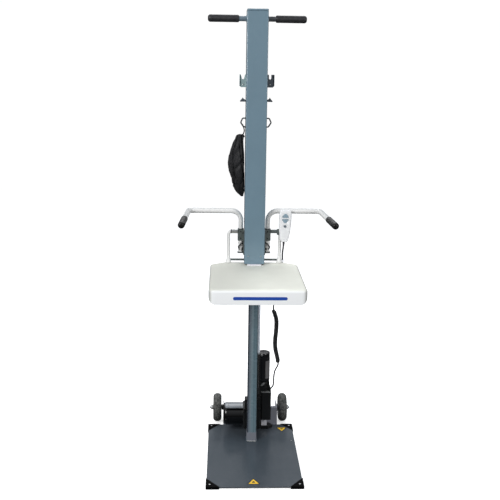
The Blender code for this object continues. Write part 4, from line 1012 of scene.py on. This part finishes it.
def make_stays():
    y, z = 0.0947, 0.9755
    for side, sign in SIDES.items():
        path = rounded([(sign * 0.0718, y, z), (sign * 0.111, y, z), (sign * 0.111, y, 0.8376)], 0.014, 12)
        foot = path.pop()
        scales = [1.0] * (len(path) + 1) + [1.04, 1.2, 1.42, 1.62, 1.72, 1.72]
        path += [foot + Vector((0, 0, lift)) for lift in (0.03, 0.024, 0.018, 0.012, 0.006, 0.002, 0)]
        drawn(f"stay_tube_{side}", "white_paint", "carriage", path, circle(0.0069, 32), scales,
            stands_for=f"seat_stay_{side}", slot="white_paint")
        # painted shade: the right sleeve takes the dark bracket paint, a shaded copy of the left one's bare zinc
        radius, look = (0.0092, "zinc") if side == "left" else (0.008, "bracket_paint")
        sleeve = [(0.007, 0), (radius - 0.0004, 0), (radius, 0.0004), (radius, 0.0266),
            (radius - 0.0004, 0.027), (0.007, 0.027)]
        turned(f"stay_sleeve_{side}", look, "carriage", sleeve, (sign * 0.0716, y, z), (sign, 0, 0), 40, True)
        ring = [(0.007, 0), (radius + 0.0004, 0), (radius + 0.0004, 0.0028), (0.007, 0.0032)]
        turned(f"stay_ring_{side}", "black_plastic", "carriage", ring, (sign * 0.0987, y, z), (sign, 0, 0),
            40, True)


def closed_outline(corners, radii, spacing):
    """A closed path round the corners, each with a radius of its own, with no step over a spacing."""
    points = []
    count = len(corners)
    for i, radius in enumerate(radii):
        before, corner, after = (Vector((*corners[j % count], 0)) for j in (i - 1, i, i + 1))
        points += rounded([before, corner, after], radius, 8)[1:-1]
    path = []
    for start, end in zip(points, points[1:] + points[:1]):
        steps = max(1, math.ceil((end - start).length / spacing))
        path += [start.lerp(end, step / steps) for step in range(steps)]
    return path


def make_seat():
    """The moulded seat: a broad soft crown, a skirt with rounded lower corners, and a hollow underside."""
    low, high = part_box("seat_shell")
    half, top, wall, corner, lip = high.x, high.z, 0.004, 0.026, 0.0008
    side = [(0.0245, 0.045), (0.0245, high.y), (0.13, high.y), (half, 0.0615), (half, low.y)]
    radii = [0.003, 0.003, 0.024, 0.024, 0.022]
    outline = closed_outline(side + [(-x, y) for x, y in reversed(side)], radii + radii[::-1], 0.008)
    inward = []
    for i in range(len(outline)):
        along = (outline[(i + 1) % len(outline)] - outline[i - 1]).normalized()
        inward.append(Vector((along.y, -along.x, 0)))

    def crown(point):
        if point.y < 0:
            return 0.013
        return 0.013 - 0.01 * ease(point.y / (0.035 if abs(point.x) < 0.035 else 0.4))

    def rim(point):
        reach = max(0, abs(point.x) - (half - corner))
        return low.z + corner - math.sqrt(max(0, corner ** 2 - reach ** 2))

    def ring(offset, level):
        """The outline moved inwards and lifted, both by functions of the point."""
        return [p + n * offset(p) + Vector((0, 0, level(p))) for p, n in zip(outline, inward)]

    rings = [ring(lambda p: wall + 0.003, lambda p: top - wall), ring(lambda p: wall, lambda p: top - wall -
        0.003), ring(lambda p: wall, lambda p: rim(p) + lip), ring(lambda p: 0.0034, rim),
        ring(lambda p: lip, rim), ring(lambda p: 0, lambda p: rim(p) + lip)]
    for step in range(9):
        angle = math.radians(90 * step / 8)
        rings.append(ring(lambda p: crown(p) * (1 - math.cos(angle)), lambda p: top - crown(p) *
            (1 - math.sin(angle))))
    seat = piece("seat", loft("seat", rings), "white_plastic", "carriage", "seat_shell", "white_plastic", 50)
    seat.modifiers.new("Shading", "WEIGHTED_NORMAL").keep_sharp = True
    stripe = closed_outline([(-0.096, -0.0065), (-0.096, 0.0065), (0.112, 0.0065), (0.112, -0.0065)], [0.006]
        * 4, 1)
    flat("seat_stripe", "stripe_blue", "carriage", [(p.x, p.y) for p in stripe], 0.0003, FACE_FRONT,
        (0, low.y - 0.0001, 0.803), 0)
    for i, x in enumerate((-0.15, -0.135, 0.135, 0.15)):
        boxed(f"seat_rib_{i + 1}", "white_plastic", "carriage", (x - 0.0012, -0.33, 0.808),
            (x + 0.0012, 0.04, 0.8338))
    for i, (x, y) in enumerate(((-0.1, -0.27), (0.1, -0.27), (-0.1, 0.02), (0.1, 0.02))):
        screw_head(f"seat_bolt_{i + 1}", (x, y, 0.828), (0, 0, -1), 0.005, 0.0036)


def make_handset_details():
    """The seam between the case's two halves."""
    side = [(0.01, -0.0695), (0.0165, -0.063), (0.02, -0.046), (0.0235, -0.022), (0.0255, 0.008),
        (0.0258, 0.046), (0.0245, 0.062), (0.018, 0.0695)]
    outline = outline_of(side + [(-x, z) for x, z in reversed(side)], 0.0015, 3)
    flat("handset_seam", "grey_plastic", "carriage", [(x * 1.006, z * 1.002) for x, z in outline], 0.001,
        Matrix.Rotation(math.radians(2.3), 4, "Y") @ FACE_FRONT, (0.1308, 0.077, 1.0046), 0)


make_push_bar()
make_mast_details()
make_wire_hooks()
make_arms()
make_stays()
make_seat()
make_handset_details()


# ---------------------------------------------------------------- the pouch

MAST_SIDE = -0.0441               # just clear of the mast's left face


def read_width(table, z):
    """Reads a half outline, given as (height, x) from the top down, at a height."""
    if z >= table[0][0]:
        return table[0][1]
    for (z1, x1), (z0, x0) in zip(table, table[1:]):
        if z0 <= z <= z1:
            return x0 + (x1 - x0) * (z - z0) / (z1 - z0)
    return table[-1][1]


def crease(x, y, z):
    """A ridged noise: thin sharp folds between broad soft faces."""
    return 1 - min(1.0, abs(noise.noise(Vector((x, y, z)))) * 3.2)


def pouch_mesh():
    """A slack cloth pouch, gathered at its neck, that hangs against the mast."""
    left = [(1.392, -0.066), (1.388, -0.078), (1.38, -0.087), (1.366, -0.096), (1.347, -0.1035),
        (1.326, -0.111), (1.305, -0.1165), (1.273, -0.1205), (1.241, -0.1175), (1.222, -0.11),
        (1.21, -0.1045), (1.19, -0.1025), (1.177, -0.0985), (1.164, -0.089), (1.152, -0.079), (1.141, -0.066),
        (1.134, -0.059)]
    right = [(1.392, -0.058), (1.38, -0.051), (1.36, -0.05), (1.33, -0.047), (1.3, MAST_SIDE),
        (1.2, MAST_SIDE), (1.175, MAST_SIDE), (1.158, -0.045), (1.145, -0.05), (1.134, -0.055)]
    rings = []
    top, drop, middle = 1.392, 0.258, 0.0885
    levels, sides = 96, 84
    for i in range(levels + 1):
        share = i / levels
        z = top - share * drop
        x0, x1 = read_width(left, z), read_width(right, z)
        depth = 0.007 + 0.029 * math.sin(math.pi * min(1.0, 0.04 + share)) ** 0.7
        ring = []
        for j in range(sides):
            angle = 2 * math.pi * j / sides
            c, s = math.cos(angle), math.sin(angle)
            c = math.copysign(abs(c) ** 0.8, c)
            lean = angle - 1.5 * share
            fold = crease(math.cos(lean) * 2.1 + share * 0.5, math.sin(lean) * 2.1, share * 0.9) ** 2
            twist = angle + 2.4 * share
            cross = crease(math.cos(twist) * 1.3 + 7, math.sin(twist) * 1.3, share * 2.2) ** 2
            small = crease(math.cos(angle) * 3 + 4, math.sin(angle) * 3, share * 7)
            gather = math.cos(angle * 8 + 2 * share) * max(0, 1 - share * 3.2)
            swell = (-0.012 * fold - 0.007 * cross) * min(1, share * 4 + 0.2) * min(1, (1 - share) * 5)
            swell += 0.0032 + 0.0016 * small + 0.0026 * gather
            swell -= 0.006 * math.exp(-((share - 0.8) / 0.02) ** 2) * max(0, -c)
            edge = 0.45 if abs(c) > 0.9 else 1.0
            x = (x0 + x1) / 2 + c * ((x1 - x0) / 2 + swell * edge)
            y = middle + s * max(0.004, depth + swell)
            ring.append(Vector((min(x, MAST_SIDE), y, z + 0.003 * small * (1 if share < 0.04 else 0))))
        rings.append(ring)
    return loft("pouch", rings)


def settle(obj, frames, reach):
    """Lets the cloth fill and crease, and keeps every point near where it started."""
    mesh = obj.data
    before = [vert.co.copy() for vert in mesh.vertices]
    pins = obj.vertex_groups.new(name="pins")
    for vert in mesh.vertices:
        hold = ease((vert.co.z - 1.375) / 0.012)
        if hold > 0:
            pins.add([vert.index], hold, "REPLACE")
    cloth = obj.modifiers.new("Cloth", "CLOTH")
    values = {"quality": 6, "mass": 0.15, "tension_stiffness": 8, "compression_stiffness": 8,
        "bending_stiffness": 0.05, "shrink_min": -0.06, "use_pressure": True, "uniform_pressure_force": 0.8,
        "vertex_group_mass": "pins"}
    for key, value in values.items():
        setattr(cloth.settings, key, value)
    cloth.collision_settings.use_collision = cloth.collision_settings.use_self_collision = False
    cloth.point_cache.frame_start, cloth.point_cache.frame_end = 1, frames
    scene = bpy.context.scene
    for step in range(1, frames + 1):
        scene.frame_set(step)
    shown = obj.evaluated_get(bpy.context.evaluated_depsgraph_get()).to_mesh()
    after = [vert.co.copy() for vert in shown.vertices]
    obj.modifiers.remove(cloth)
    scene.frame_set(1)
    for vert, old, new in zip(mesh.vertices, before, after):
        shift = new - old
        if shift.length > reach:
            shift *= reach / shift.length
        vert.co = old + shift
        vert.co.x = min(vert.co.x, MAST_SIDE)
    mesh.update()


def make_pouch():
    bag = link(bpy.data.objects.new("pouch", pouch_mesh()))
    settle(bag, 14, 0.005)
    bag.data.materials.append(LOOKS["bag_fabric"])
    bag.data.shade_smooth()
    finer = bag.modifiers.new("Finer", "SUBSURF")
    finer.levels = finer.render_levels = 1
    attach(bag, "carriage")
    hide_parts("accessory_bag")
    strap = smooth_path([(-0.057, 0.084, 1.385), (-0.052, 0.083, 1.396), (-0.049, 0.0825, 1.408),
        (-0.051, 0.0825, 1.419), (-0.0545, 0.084, 1.429), (-0.0555, 0.0885, 1.4325), (-0.0545, 0.093, 1.429),
        (-0.0505, 0.0945, 1.419), (-0.048, 0.0945, 1.408), (-0.051, 0.094, 1.396), (-0.056, 0.093, 1.385)],
        0.002)
    ribbon = [(-0.003, -0.002), (0.003, -0.002), (0.003, 0.002), (-0.003, 0.002)]
    drawn("pouch_strap", "bag_fabric", "carriage", strap, ribbon, up=(1, 0, 0.4), crease=50)
    knot = [(0, 0)] + [(0.0052 * math.sin(math.pi * i / 10) * (1 + 0.15 * math.sin(i * 2.3)), 0.0012 * i)
        for i in range(1, 10)] + [(0, 0.012)]

    def lumpy(size, level, angle):
        return size * (1 + 0.18 * math.sin(angle * 3 + level * 500))
    turned("pouch_knot", "bag_fabric", "carriage", knot, (-0.053, 0.085, 1.379), (0.3, 0, 1), 24, shape=lumpy,
        crease=80)


make_pouch()


# ---------------------------------------------------------------- studio

def make_world():
    """A room that is brighter above, with plain white behind the object."""
    world = bpy.data.worlds.new("studio")
    world.use_nodes = True
    nodes, join = world.node_tree.nodes, world.node_tree.links.new
    room = nodes["Background"]
    seen, ray, place, height, span, ramp, choose = (nodes.new("ShaderNode" + kind) for kind in
        ("Background", "LightPath", "TexCoord", "SeparateXYZ", "MapRange", "ValToRGB", "MixShader"))
    seen.inputs["Color"].default_value = (1, 1, 1, 1)
    seen.inputs["Strength"].default_value = 1.02
    span.inputs["From Min"].default_value = -1
    first, last = ramp.color_ramp.elements
    first.position, first.color = 0.42, (0.05, 0.05, 0.05, 1)
    last.position, last.color = 0.9, (0.62, 0.64, 0.67, 1)
    join(place.outputs["Generated"], height.inputs[0])
    join(height.outputs["Z"], span.inputs["Value"])
    join(span.outputs[0], ramp.inputs[0])
    join(ramp.outputs[0], room.inputs["Color"])
    join(ray.outputs["Is Camera Ray"], choose.inputs[0])
    join(room.outputs[0], choose.inputs[1])
    join(seen.outputs[0], choose.inputs[2])
    join(choose.outputs[0], nodes["World Output"].inputs["Surface"])
    bpy.context.scene.world = world


def make_floor():
    bm = bmesh.new()
    bmesh.ops.create_grid(bm, x_segments=8, y_segments=8, size=8)
    floor = link(bpy.data.objects.new("floor", mesh_of(bm, "floor")))
    floor.location.z = -0.0003
    floor.visible_glossy = floor.visible_diffuse = False
    look = Look("look_floor", (0.93, 0.93, 0.93, 1), 0.9, Emission_Color=(1, 1, 1, 1), Emission_Strength=0.55,
        Specular_IOR_Level=0.0)
    look.cloud(1.2, 0.3, 0.7, (0.91, 0.91, 0.915, 1), 1, 3)
    floor.data.materials.append(look.material)


def make_lamp(name, place, aim, size, power):
    """An area lamp that points at a height over the origin."""
    data = bpy.data.lights.new(name, "AREA")
    data.shape, data.energy = "RECTANGLE", power
    data.size, data.size_y = size
    lamp = link(bpy.data.objects.new(name, data))
    lamp.location = place
    lamp.rotation_euler = (Vector((0, 0, aim)) - Vector(place)).to_track_quat("-Z", "Y").to_euler()


bpy.context.scene.view_settings.view_transform = "Standard"
make_world()
make_floor()
make_lamp("key", (-2.6, -2.9, 2.7), 0.9, (1.4, 1.8), 132)
make_lamp("fill", (2.4, -3.0, 2.0), 0.9, (1.2, 1.4), 52)
make_lamp("top", (0, 1.9, 2.9), 0.3, (2.4, 2.0), 44)
